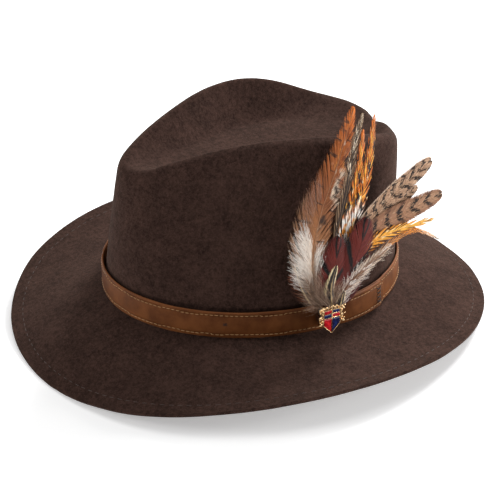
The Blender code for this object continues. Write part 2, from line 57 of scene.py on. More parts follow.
# ---- shader graphs

class Value:
    """A shader socket that can stand in a sum."""

    def __init__(self, graph, socket):
        self.graph, self.socket = graph, socket

    def __add__(self, other):
        return self.graph.math("ADD", self, other)

    def __sub__(self, other):
        return self.graph.math("SUBTRACT", self, other)

    def __rsub__(self, other):
        return self.graph.math("SUBTRACT", other, self)

    def __mul__(self, other):
        return self.graph.math("MULTIPLY", self, other)

    def __abs__(self):
        return self.graph.math("ABSOLUTE", self)


class Graph:
    """A short way to write one procedural material."""

    def __init__(self, name):
        self.material = bpy.data.materials.new(name)
        self.material.use_nodes = True
        self.tree = self.material.node_tree
        self.shader = self.tree.nodes["Principled BSDF"]
        self.place = self.node("ShaderNodeTexCoord", "Object", {})

    def node(self, kind, output, inputs, **settings):
        """One output of a new node, after its settings and then its inputs are given."""
        made = self.tree.nodes.new(kind)
        for key, value in settings.items():
            setattr(made, key, value)
        for key, value in inputs.items():
            self.feed(made.inputs[key], value)
        return Value(self, made.outputs[output])

    def feed(self, socket, value):
        if isinstance(value, Value):
            self.tree.links.new(value.socket, socket)
        elif isinstance(value, tuple) and len(value) == 3 and socket.type == "RGBA":
            socket.default_value = (*value, 1.0)
        else:
            socket.default_value = value

    def finish(self, **inputs):
        """The material, with Principled inputs by name, underscores for spaces."""
        for key, value in inputs.items():
            self.feed(self.shader.inputs[key.replace("_", " ")], value)
        return self.material

    def math(self, operation, a, b=0.0):
        return self.node("ShaderNodeMath", 0, {0: a, 1: b}, operation=operation)

    def step(self, value, low, high):
        """0 below low, 1 above high, smooth between."""
        return self.node("ShaderNodeMapRange", "Result", {"Value": value, "From Min": low, "From Max": high},
                         interpolation_type="SMOOTHSTEP")

    def blend(self, factor, a, b, mode="MIX"):
        return self.node("ShaderNodeMix", "Result", {"Factor": factor, "A": a, "B": b}, data_type="RGBA",
                         blend_type=mode)

    def ramp(self, value, stops):
        made = self.node("ShaderNodeValToRGB", "Color", {"Fac": value})
        band = made.socket.node.color_ramp.elements
        while len(band) < len(stops):
            band.new(0.5)
        for element, (position, colour) in zip(band, stops):
            element.position = position
            element.color = (*colour, 1.0)
        return made

    def attribute(self, name):
        return self.node("ShaderNodeAttribute", "Fac", {}, attribute_name=name)

    def noise(self, scale, detail=3.0, roughness=0.55, vector=None, distortion=0.0):
        return self.node("ShaderNodeTexNoise", "Fac", {
            "Vector": vector or self.place, "Scale": scale, "Detail": detail, "Roughness": roughness,
            "Distortion": distortion})

    def cells(self, scale):
        return self.node("ShaderNodeTexVoronoi", "Distance", {"Vector": self.place, "Scale": scale})

    def wave(self, direction, scale, distortion=0.0):
        return self.node("ShaderNodeTexWave", "Fac", {
            "Vector": self.place, "Scale": scale, "Distortion": distortion}, bands_direction=direction)

    def vector(self, x, y, z):
        return self.node("ShaderNodeCombineXYZ", 0, {0: x, 1: y, 2: z})

    def grey(self, value):
        return self.node("ShaderNodeCombineColor", "Color", {0: value, 1: value, 2: value})

    def bump(self, height, distance, strength, under=None):
        inputs = {"Height": height, "Distance": distance, "Strength": strength}
        if under is not None:
            inputs["Normal"] = under
        return self.node("ShaderNodeBump", "Normal", inputs)


def felt_material(name, dark, light):
    g = Graph(name)
    clouds = g.noise(60.0)
    fibres = g.noise(850.0, 6.0, 0.75, distortion=1.2)
    specks = g.noise(330.0, 4.0, 0.7)
    tone = clouds * 0.16 + fibres * 0.5 + specks * 0.34
    soft = g.bump(specks, 0.0006, 0.3)
    return g.finish(Base_Color=g.blend(g.step(tone, 0.38, 0.62), dark, light), Roughness=0.97,
                    Specular_IOR_Level=0.06, Normal=g.bump(fibres, 0.0004, 0.6, soft),
                    Sheen_Weight=0.1, Sheen_Roughness=0.42, Sheen_Tint=(0.62, 0.44, 0.34))


def leather_material(name, dark, light, worn, roughness=0.46, rows=()):
    """Smooth leather; rows are places across a strap where stitches pull it in, and painted shade darkens the
    leather along each row.
    """
    g = Graph(name)
    mottle = g.noise(55.0, 5.0, 0.6)
    pores = g.cells(1500.0)
    grain = g.noise(700.0, 5.0, 0.7)
    colour = g.blend(g.step(mottle, 0.3, 0.7), dark, light)
    colour = g.blend(g.step(pores, 0.35, 0.05) * 0.25, colour, dark)
    normal = g.bump(pores * 0.5 + grain * 0.5, 0.00012, 0.5)
    if rows:
        place = g.attribute("across")
        colour = g.blend(g.step(abs(place - 0.5), 0.455, 0.5) * 0.35, colour, worn)
        for row in rows:
            groove = g.step(abs(place - row), 0.05, 0.0)
            # painted shade: each stitched groove is darkened as if shadowed in its recess; the bump below
            # gives its dent
            colour = g.blend(groove * 0.45, colour, dark)
            normal = g.bump(1.0 - groove, 0.0005, 0.7, normal)
    return g.finish(Base_Color=colour, Roughness=mottle * 0.14 + (roughness - 0.06),
                    Specular_IOR_Level=0.14, Normal=normal)


def thread_material(name, dark, light):
    g = Graph(name)
    ply = g.wave("DIAGONAL", 900.0, 2.0)
    return g.finish(Base_Color=g.blend(ply * 0.6, light, dark), Roughness=0.62, Specular_IOR_Level=0.3,
                    Normal=g.bump(ply, 0.00008, 0.6), Sheen_Weight=0.06, Sheen_Roughness=0.4)


def ribbon_material(name, dark, light):
    """Grosgrain: fine cross ribs."""
    g = Graph(name)
    ribs = g.wave("X", 480.0)
    return g.finish(Base_Color=g.blend(ribs, dark, light), Roughness=0.5, Specular_IOR_Level=0.4,
                    Normal=g.bump(ribs, 0.00015, 0.8), Sheen_Weight=0.3, Sheen_Roughness=0.35)


def metal_material(name, colour, tarnish, roughness):
    g = Graph(name)
    wear = g.noise(350.0, 5.0, 0.65)
    grime = g.step(g.noise(900.0, 4.0, 0.6), 0.5, 0.68)
    return g.finish(Base_Color=g.blend(grime * 0.55, colour, tarnish), Metallic=1.0,
                    Roughness=wear * 0.18 + roughness, Normal=g.bump(wear, 0.00006, 0.5))


def enamel_material(name, deep, bright):
    g = Graph(name)
    pool = g.noise(420.0, 3.0, 0.5)
    specks = g.step(g.cells(2200.0), 0.12, 0.02)
    colour = g.blend(g.step(pool, 0.35, 0.7), deep, bright)
    return g.finish(Base_Color=g.blend(specks * 0.25, colour, deep), Roughness=0.12, Coat_Weight=0.8,
                    Coat_Roughness=0.04, Normal=g.bump(pool, 0.00015, 0.35))


# ---- feather paint

def feather_material(name, ground, marks, gloss, rachis, down=None):
    """Paint in a feather's own space: along from foot to tip, across from -1 to 1, barb at random.

    ground lists colours from foot to tip. A mark lays its colour over the ground inside its own reach:
    bars cross the vane, edge and centre follow it, spots are scattered blotches.
    """
    g = Graph(name)
    along, across, barb = (g.attribute(key) for key in ("along", "across", "barb"))
    width = abs(across)
    drift = g.noise(1.0, 3.0, 0.6, g.vector(along * 9.0, across * 2.2, barb * 0.6)) - 0.5
    colour = g.ramp(along + drift * 0.16, ground)
    shifted = along + drift * 0.1
    for mark in marks:
        kind, size, soft = mark["kind"], mark["size"], mark.get("soft", 0.12)
        wobble = drift * mark.get("wobble", 0.5)
        if kind == "bars":
            phase = (along + width * mark["skew"]) * mark["count"] + wobble
            mask = g.step(abs(g.math("FRACT", phase) - 0.5), size / 2 + soft / 2, size / 2 - soft / 2)
        elif kind == "edge":
            mask = g.step(width + wobble, size, size + soft)
        elif kind == "centre":
            mask = g.step(width + wobble, size + soft, size)
        else:
            field = g.vector(along * mark["count"], across * mark["squeeze"], mark["seed"])
            mask = g.step(g.noise(1.0, 2.0, 0.5, field), size, size + soft)
        low, high = mark["reach"]
        mask = mask * g.step(shifted, low - 0.04, low + 0.04) * g.step(shifted, high + 0.04, high - 0.04)
        if "side" in mark:
            mask = mask * g.step(across * mark["side"], -0.08, 0.1)
        colour = g.blend(mask * mark.get("weight", 1.0), colour, mark["colour"])
    colour = g.blend(1.0, colour, g.grey(barb * 0.56 + 0.72), "MULTIPLY")
    if down:
        fluffy = g.blend(g.step(width, 0.1, 0.9), *down)
        fluffy = g.blend(1.0, fluffy, g.grey(barb * 0.4 + 0.8), "MULTIPLY")
        colour = g.blend(g.attribute("fluff"), colour, fluffy)
    return g.finish(Base_Color=g.blend(g.attribute("quill"), colour, rachis), Roughness=0.62 - 0.3 * gloss,
                    Specular_IOR_Level=0.15 + 0.35 * gloss)


# ---- meshes

def place_piece(name, mesh, material, body, nodes=()):
    """Put a finished mesh in the scene as a smooth piece that rides a body and stands for CAD nodes."""
    mesh.polygons.foreach_set("use_smooth", [True] * len(mesh.polygons))
    mesh.materials.clear()
    mesh.materials.append(material)
    piece = bpy.data.objects.new(name, mesh)
    bpy.context.scene.collection.objects.link(piece)
    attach(piece, body)
    for node in nodes:
        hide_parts(node)
    return piece


def new_piece(name, points, faces, material, body, nodes=(), attributes=None):
    mesh = bpy.data.meshes.new(name)
    mesh.from_pydata([tuple(p) for p in points], [], faces)
    mesh.update()
    for key, values in (attributes or {}).items():
        mesh.attributes.new(key, "FLOAT", "POINT").data.foreach_set("value", np.array(values, np.float32))
    return place_piece(name, mesh, material, body, nodes)


def welded(node):
    """A CAD node's mesh joined up again into quads, as a bmesh."""
    bm = bmesh.new()
    bm.from_mesh(NODES[node].data)
    bmesh.ops.remove_doubles(bm, verts=bm.verts, dist=0.000005)
    bmesh.ops.join_triangles(bm, faces=bm.faces, angle_face_threshold=radians(20),
                             angle_shape_threshold=radians(60))
    return bm


def soften(mesh, levels, crease_angle, crease):
    """The mesh after subdivision; edges sharper than crease_angle keep some of their edge."""
    if crease_angle is not None:
        bm = bmesh.new()
        bm.from_mesh(mesh)
        layer = bm.edges.layers.float.new("crease_edge")
        for edge in bm.edges:
            if len(edge.link_faces) == 2 and edge.calc_face_angle() > crease_angle:
                edge[layer] = crease
        bm.to_mesh(mesh)
        bm.free()
    holder = bpy.data.objects.new("holder", mesh)
    bpy.context.scene.collection.objects.link(holder)
    subdivide = holder.modifiers.new("subdivide", "SUBSURF")
    subdivide.levels = subdivide.render_levels = levels
    graph = bpy.context.evaluated_depsgraph_get()
    done = bpy.data.meshes.new_from_object(holder.evaluated_get(graph))
    bpy.data.objects.remove(holder)
    return done


def read_points(mesh, kind="co"):
    values = np.zeros(len(mesh.vertices) * 3)
    mesh.vertices.foreach_get(kind, values)
    return values.reshape(-1, 3)


def soft_copy(node, name, material, body, levels, crease_angle=None, crease=0.7, shape=None):
    """A smooth piece that stands for a CAD node; shape may move its finished points."""
    bm = welded(node)
    mesh = bpy.data.meshes.new(name)
    bm.to_mesh(mesh)
    bm.free()
    mesh = soften(mesh, levels, crease_angle, crease)
    mesh.name = name
    if shape:
        moved = shape(read_points(mesh), read_points(mesh, "normal"))
        mesh.vertices.foreach_set("co", moved.ravel())
        mesh.update()
    return place_piece(name, mesh, material, body, [node])


def surface_of(piece):
    bm = bmesh.new()
    bm.from_mesh(piece.data)
    tree = BVHTree.FromBMesh(bm)
    bm.free()
    return tree


def onto(surface, point):
    """The nearest place on a surface, and its normal turned to the point's side."""
    found, normal, _, _ = surface.find_nearest(point)
    return found, -normal if normal.dot(point - found) < 0 else normal


def run_at(line, index):
    """Which way a line of points runs at one of them."""
    return line[min(index + 1, len(line) - 1)] - line[max(index - 1, 0)]


def curve_at(points, span, t, closed=False):
    """A point of the smooth curve through points, t of the way along one span."""
    count = len(points)
    a, b, c, d = (points[(span + k) % count if closed else min(max(span + k, 0), count - 1)]
                  for k in (-1, 0, 1, 2))
    return 0.5 * (2 * b + (c - a) * t + (2 * a - 5 * b + 4 * c - d) * t * t
                  + (3 * b - a - 3 * c + d) * t * t * t)


def skin(rings, count, flip=False):
    """Quads between rings of count points each; flip turns them the other way round."""
    faces = []
    for i in range(rings - 1):
        for j in range(count):
            a, b = i * count + j, i * count + (j + 1) % count
            faces.append((a, a + count, b + count, b) if flip else (a, b, b + count, a + count))
    return faces


def dome(rings, count, flip=False):
    """The same, closed to a point over the last ring and then to one under the first."""
    last = (rings - 1) * count
    faces = skin(rings, count, flip)
    for ring, tip, turned in ((last, last + count, flip), (0, last + count + 1, not flip)):
        pairs = [(ring + j, ring + (j + 1) % count) for j in range(count)]
        faces += [(b, a, tip) if turned else (a, b, tip) for a, b in pairs]
    return faces


class Builder:
    """Collects points, faces and point values for one mesh made of many small bodies."""

    def __init__(self, *keys):
        self.points, self.faces = [], []
        self.values = {key: [] for key in keys}

    def add(self, points, faces, **values):
        base = len(self.points)
        self.points += points
        self.faces += [tuple(base + i for i in face) for face in faces]
        for key, kept in self.values.items():
            given = values[key]
            kept += list(given) if hasattr(given, "__len__") else [given] * len(points)

    def tube(self, route, radii, sides=6, squeeze=1.0, normal=None, **values):
        """A closed round bar along route; squeeze flattens it along normal."""
        points = []
        for index, centre in enumerate(route):
            along = run_at(route, index)
            along = along.normalized() if along.length > 1e-9 else Vector((0, 0, 1))
            side = along.cross(normal or Vector((0.13, 0.31, 0.94)))
            side = side.normalized() if side.length > 1e-6 else along.orthogonal().normalized()
            up = side.cross(along)
            radius = radii[index] if hasattr(radii, "__len__") else radii
            for turn in range(sides):
                angle = 2 * pi * turn / sides
                points.append(centre + side * radius * cos(angle) + up * radius * squeeze * sin(angle))
        faces = skin(len(route), sides)
        faces += [tuple(reversed(range(sides))), tuple(range(len(points) - sides, len(points)))]
        self.add(points, faces, **values)

    def ball(self, centre, radius, axis, flatten=0.8, sides=10, rings=4):
        """A domed stud standing along axis."""
        across = axis.orthogonal().normalized()
        other = axis.cross(across)
        points = []
        for ring in range(rings):
            lift = pi / 2 * ring / rings
            for turn in range(sides):
                angle = 2 * pi * turn / sides
                points.append(centre + radius * (cos(lift) * (cos(angle) * across + sin(angle) * other)
                                                 + flatten * sin(lift) * axis))
        points += [centre + axis * radius * flatten, centre.copy()]
        self.add(points, dome(rings, sides))

    def piece(self, name, material, body, slot, *nodes):
        return new_piece(name, self.points, self.faces, material, body, nodes, self.values)


# ---- routes of the CAD threads

def ring_route(node, gap=radians(0.9)):
    """Centre points of a CAD thread that runs round the hat, in order of their angle."""
    bm = welded(node)
    points = sorted((np.arctan2(v.co.x, -v.co.y), v.co.copy()) for v in bm.verts)
    bm.free()
    rings, last = [], None
    for angle, point in points:
        if last is None or angle - last > gap:
            rings.append([])
        rings[-1].append(point)
        last = angle
    return [sum(ring, Vector()) / len(ring) for ring in rings]


class Route:
    """A smooth curve through points, measured along its length."""

    def __init__(self, points, closed, fine=12):
        spans = len(points) if closed else len(points) - 1
        dense = [curve_at(points, span, step / fine, closed) for span in range(spans) for step in range(fine)]
        dense.append(points[0 if closed else -1])
        self.dense = np.array([tuple(p) for p in dense])
        steps = np.linalg.norm(np.diff(self.dense, axis=0), axis=1)
        self.lengths = np.concatenate([[0.0], np.cumsum(steps)])
        self.length = float(self.lengths[-1])

    def at(self, distance):
        return Vector([float(np.interp(distance, self.lengths, self.dense[:, axis])) for axis in range(3)])


def stitch_row(name, node, surface, material, slot, closed, pitch, long, radius, seed, rise=0.45):
    """Separate raised stitches along a CAD thread, each pulled into the surface at its two ends.

    pitch, long and radius are in millimetres.
    """
    pitch, long, radius = pitch * MM, long * MM, radius * MM
    route = Route(ring_route(node), closed)
    count = max(1, int(route.length / pitch))
    step = route.length / count
    draw = random.Random(seed)
    made = Builder()
    places = [-1 + turn / 4 for turn in range(9)]
    sizes = [radius * (0.72 + 0.28 * (1 - abs(place) ** 3)) for place in places]
    for index in range(count):
        centre = (index + 0.5) * step + draw.uniform(-0.05, 0.05) * pitch
        reach = long * draw.uniform(0.92, 1.06) / 2
        shift = draw.uniform(-0.06, 0.06) * MM
        run = route.at(min(centre + reach, route.length)) - route.at(max(centre - reach, 0))
        line = []
        for place in places:
            found, normal = onto(surface, route.at(min(max(centre + reach * place, 0.0), route.length)))
            lift = radius * (rise * 2 * (1 - place * place) - 0.55)
            line.append(found + normal * lift + normal.cross(run).normalized() * shift * place)
        made.tube(line, sizes, sides=7)
    return made.piece(name, material, "hat", slot, node)


# ---- the hat's own curves

HEAD_HALF_WIDTH, HEAD_HALF_LENGTH, HEAD_TAPER, HEAD_BACK = 0.0877, 0.1038, 0.0394, 0.0008
STRAP, STRAP_HEIGHT, STRAP_GAP, STRAP_LIFT = 0.0018, 0.0195, 0.0005, 0.0022
STRAP_FOOT, STRAP_DIP, STRAP_WAVE = 0.0304, 0.0055, 0.0005
OUTER_END, UNDER_END, CLIMB, PIN_ANGLE = 124.5, 106.0, 9.0, 93.6
SEAM = 0.0026 / STRAP_HEIGHT


def oval(angle):
    """A point on the head oval; angle 0 is the front, a quarter turn is the wearer's left."""
    x = HEAD_HALF_WIDTH * sin(angle) * (1 - HEAD_TAPER * cos(angle))
    y = HEAD_BACK - HEAD_HALF_LENGTH * cos(angle)
    return Vector((x, y, 0))


def oval_out(angle):
    along = oval(angle + 0.001) - oval(angle - 0.001)
    return Vector((along.y, -along.x, 0)).normalized()


def strap_point(degrees, height, depth):
    """A point on the band; height 0 to 1 from its lower edge, depth in from its outer face."""
    angle = radians(degrees)
    climb = min(max((degrees - (UNDER_END - CLIMB)) / CLIMB, 0.0), 1.0)
    stand = STRAP_GAP + STRAP_LIFT * climb * climb * (3 - 2 * climb)
    point = oval(angle) + oval_out(angle) * (stand + STRAP - depth)
    point.z = STRAP_FOOT + STRAP_DIP * cos(angle) + STRAP_WAVE * cos(2 * angle) + STRAP_HEIGHT * height
    return point


SWIVEL = next(joint for joint in frame["joints"] if joint["name"] == "brooch_swivel")
PIN, OUT = Vector(SWIVEL["pos_m"]), Vector(SWIVEL["axis"]).normalized()


def brooch_axes():
    """The brooch's own frame: X to the back along the band, Y up, Z straight out."""
    back = (strap_point(PIN_ANGLE + 0.001, 0, 0) - strap_point(PIN_ANGLE - 0.001, 0, 0)).normalized()
    up = OUT.cross(back).normalized()
    matrix = Matrix((back, up, OUT)).transposed().to_4x4()
    matrix.translation = PIN
    return matrix


BROOCH = brooch_axes()


def on_brooch(p, q, rise):
    """A brooch point from millimetres across, millimetres up and metres out."""
    return BROOCH @ Vector((p * MM, q * MM, rise))


# ---- felt, band and sweatband

# the crown's back rim is lifted above its CAD solid: by how much, round where, and from what height up
RIM_LIFT, LIFT_MIDDLE, LIFT_WIDTH, LIFT_FOOT, LIFT_CLIMB = 0.0058, radians(175), radians(18), 0.06, 0.055


def build_felt():
    def shape(points, normals):
        _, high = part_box("leather_band")
        for index in range(len(points)):
            x, y, z = points[index]
            reach = (x / 0.1) ** 2 + (y / 0.115) ** 2
            calm = min(1.0, max(0.0, (z - high.z - 0.002) / 0.012)) if reach < 1.25 else \
                min(1.0, (reach - 1.25) / 0.35)
            if calm > 0:
                wave = noise.noise(Vector((x, y, z)) * 28.0) * 0.00045
                wave += noise.noise(Vector((x + 3, y, z)) * 90.0) * 0.00012
                points[index] += normals[index] * wave * calm
            around = abs(np.arctan2(x, 0.012 - y) % (2 * pi) - LIFT_MIDDLE) / LIFT_WIDTH
            reach = min(1.0, np.hypot(x / 0.054, (y - 0.012) / 0.094))
            if z > LIFT_FOOT and around < 3:
                climb = min(1.0, (z - LIFT_FOOT) / LIFT_CLIMB)
                points[index][2] += RIM_LIFT * np.exp(-around ** 2) * climb * reach ** 3
            points[index][2] = max(points[index][2], 0.0)
        return points

    return soft_copy("felt_body", "felt_crown_and_brim",
                     felt_material("brown_wool_felt", (0.0195, 0.0104, 0.008), (0.07, 0.0375, 0.029)),
                     "hat", 2, radians(48), 0.62, shape)


def build_fuzz(felt, count=26000):
    """The felt's nap: short bent fibres that lie back over its outer faces."""
    mesh = felt.data
    mesh.calc_loop_triangles()
    points = read_points(mesh)
    corners = np.zeros(len(mesh.loop_triangles) * 3, np.int32)
    mesh.loop_triangles.foreach_get("vertices", corners)
    corners = corners.reshape(-1, 3)
    a, b, c = (points[corners[:, k]] for k in range(3))
    cross = np.cross(b - a, c - a)
    area = np.linalg.norm(cross, axis=1)
    draw = np.random.default_rng(11)
    chosen = draw.choice(len(corners), count, p=area / area.sum())
    u, v = draw.random(count), draw.random(count)
    flip = u + v > 1
    u[flip], v[flip] = 1 - u[flip], 1 - v[flip]
    root = a[chosen] + (b - a)[chosen] * u[:, None] + (c - a)[chosen] * v[:, None]
    normal = cross[chosen] / area[chosen][:, None]
    inside = (np.linalg.norm(root[:, :2] / [0.0885, 0.1045], axis=1) < 1.0) & (root[:, 2] < 0.06)
    root, normal = root[~inside], normal[~inside]
    count = len(root)
    spin = draw.normal(size=(count, 3))
    lay = np.cross(normal, spin)
    lay /= np.linalg.norm(lay, axis=1)[:, None]
    side = np.cross(normal, lay)
    long = draw.uniform(0.5, 1.5, count)[:, None] * MM
    tall = draw.uniform(0.05, 0.4, count)[:, None]
    width = 0.028 * MM
    middle = root + lay * long * 0.5 + normal * long * tall * 0.75
    middle = middle + side * long * draw.uniform(-0.12, 0.12, (count, 1))
    tip = root + lay * long + normal * long * tall * draw.uniform(0.6, 1.1, (count, 1))
    sunk = normal * 0.05 * MM
    strip = np.stack([root - side * width - sunk, root + side * width - sunk,
                      middle - side * width * 0.8, middle + side * width * 0.8, tip], axis=1).reshape(-1, 3)
    strip[:, 2] = np.maximum(strip[:, 2], 0.0)
    base = np.arange(count)[:, None] * 5
    faces = np.hstack([base, base + 1, base + 3, base + 2]).tolist()
    faces += np.hstack([base + 2, base + 3, base + 4]).tolist()
    shade = np.repeat(draw.random(count), 5)
    g = Graph("felt_nap")
    colour = g.blend(g.attribute("fibre"), (0.024, 0.0134, 0.01), (0.092, 0.053, 0.04))
    material = g.finish(Base_Color=colour, Roughness=0.9, Specular_IOR_Level=0.2, Sheen_Weight=0.3,
                        Sheen_Roughness=0.5)
    new_piece("felt_nap", strip, faces, material, "hat", attributes={"fibre": shade})


def build_band():
    """The leather strap: a rolled edge above and below, a stitched channel inside each, a clipped end."""
    heights = [0.0, 0.012, 0.045, 0.09, SEAM * 0.86, SEAM, SEAM * 1.16, 0.2, 0.3, 0.4, 0.5]
    depths = [0.75, 0.34, 0.08, 0.0, 0.12, 0.26, 0.1, 0.02, -0.02, -0.04, -0.05]
    profile = [(height, depth * MM) for height, depth in zip(heights, depths)]
    profile += [(1 - height, depth) for height, depth in reversed(profile[:-1])]
    profile += [(1.0, 1.35 * MM), (0.94, STRAP), (0.5, STRAP), (0.06, STRAP), (0.0, 1.35 * MM)]
    first, last = UNDER_END - 360 + 0.2, OUTER_END
    places = [first + (last - 10 - first) * i / 250 for i in range(250)]
    places += [last - 10 + 10 * i / 24 for i in range(25)]
    points, heights_seen, rounds = [], [], len(profile)
    for degrees in places:
        near = min(max((degrees - (last - 7)) / 7, 0.0), 1.0)
        end_thin = 0.3 * MM * max(0.0, (degrees - (last - 0.5)) / 0.5)
        hidden = degrees < OUTER_END - 360 + 1.0
        for height, depth in profile:
            clip = abs(2 * height - 1) ** 2.6
            place = degrees - 2.6 * near ** 2 * clip
            level = 0.5 + (height - 0.5) * 0.965 - 0.018 if hidden else height
            across, ahead = cos(radians(place)), sin(radians(place))
            wave = noise.noise(Vector((across * 9, ahead * 9, height * 2.4)))
            level += noise.noise(Vector((across * 5, ahead * 5, 8.0))) * 0.012
            inward = depth + (wave * 0.16 * MM if depth < 0.5 * MM else 0)
            inward += end_thin if depth < 1.2 * MM else 0
            points.append(strap_point(place, level, min(inward, STRAP)))
            heights_seen.append(height)
    faces = skin(len(places), rounds, flip=True)
    faces += [tuple(range(rounds)), tuple(reversed(range(len(points) - rounds, len(points))))]
    material = leather_material("tan_band_leather", (0.094, 0.027, 0.0055), (0.185, 0.06, 0.0155),
                                (0.3, 0.105, 0.034), 0.52, rows=(SEAM, 1 - SEAM))
    piece = new_piece("leather_hat_band", points, faces, material, "hat", ["leather_band"],
                      {"across": heights_seen})
    smooth = piece.modifiers.new("smooth", "SUBSURF")
    smooth.levels = smooth.render_levels = 1
    return piece


def build_inside():
    leather = leather_material("sweatband_leather", (0.045, 0.021, 0.012), (0.085, 0.043, 0.026),
                               (0.12, 0.06, 0.03), 0.5)
    band = soft_copy("sweatband", "leather_sweatband", leather, "hat", 2, radians(50),
                     0.75)
    reed = leather_material("reed_piping", (0.035, 0.018, 0.011), (0.075, 0.038, 0.022),
                            (0.1, 0.05, 0.03), 0.4)
    soft_copy("sweatband_piping", "sweatband_reed_piping", reed, "hat", 1)
    stitch_row("sweatband_stitches", "sweatband_thread", surface_of(band),
               thread_material("sweatband_thread", (0.24, 0.13, 0.055), (0.42, 0.25, 0.11)),
               "tan_thread", True, 3.2, 2.4, 0.26, 5)


def build_bow():
    """The small flat bow over the sweatband's seam: two loops and a wrapped knot."""
    low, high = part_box("sweatband_bow")
    middle = (low + high) / 2
    half = (high.x - low.x) / 2
    tall = (high.z - low.z) / 2
    made = Builder()

    def ribbon(line, widths, facing):
        points, faces = [], []
        for centre, width in zip(line, widths):
            for up, out in ((-1, -0.12), (-0.5, 0.05), (0, 0.1), (0.5, 0.05), (1, -0.12)):
                points.append(centre + Vector((0, 0, up * width)) + facing * out * MM)
        rows, m = len(line), len(line) * 5
        back = [p - facing * 0.22 * MM for p in points]
        for i in range(rows - 1):
            for j in range(4):
                a, b, c, d = i * 5 + j, (i + 1) * 5 + j, (i + 1) * 5 + j + 1, i * 5 + j + 1
                faces += [(a, b, c, d), (m + d, m + c, m + b, m + a)]
        edge = [i * 5 for i in range(rows)] + [(rows - 1) * 5 + j for j in range(1, 5)]
        edge += [i * 5 + 4 for i in reversed(range(rows - 1))] + [3, 2, 1]
        for start, after in zip(edge, edge[1:] + edge[:1]):
            faces.append((after, start, m + start, m + after))
        made.add(points + back, faces)

    facing = Vector((0, -1, 0.02)).normalized()
    for side in (-1, 1):
        loop = []
        for step in range(13):
            t = step / 12
            out = sin(t * pi) ** 0.8 * half * 0.96
            lift = (0.35 - 0.7 * t) * 0.7 * MM + sin(t * pi) * 0.45 * MM
            loop.append(middle + Vector((side * (0.6 * MM + out), 0, (t - 0.5) * 0.5 * MM)) + facing * lift)
        widths = [tall * (0.42 + 0.48 * sin(step / 12 * pi) ** 0.6) for step in range(13)]
        ribbon(loop, widths, facing)
    knot = []
    for step in range(9):
        t = -1 + step / 4
        knot.append(middle + Vector((t * 1.1 * MM, 0, 0)) + facing * (0.9 * (1 - t * t)) * MM)
    ribbon(knot, [tall * 0.5] * 9, facing)
    grosgrain = ribbon_material("grosgrain", (0.018, 0.01, 0.007), (0.05, 0.03, 0.02))
    made.piece("sweatband_ribbon_bow", grosgrain, "hat", "ribbon", "sweatband_bow")


# ---- feathers

FEATHER_START, FEATHER_PITCH, FEATHER_SPREAD = 0.0025, 0.00072, 0.00016
SPRAY_TALL, SPRAY_WIDE, LEAN_UP, LEAN_BACK = 0.127, 0.08, 0.03, 0.006


def blade_height(p, q, layer):
    """How far a feather's layer stands out from the brooch's plane; the spray leans in with the crown."""
    lean = -LEAN_UP * (max(q - 0.01, 0.0) / SPRAY_TALL) ** 1.7
    lean -= LEAN_BACK * (max(p - 0.006, 0.0) / SPRAY_WIDE) ** 2
    spread = FEATHER_SPREAD * min(1.0, max(0.0, (q + abs(p) - 0.01) / 0.04))
    return FEATHER_START + layer * (FEATHER_PITCH + spread) + lean


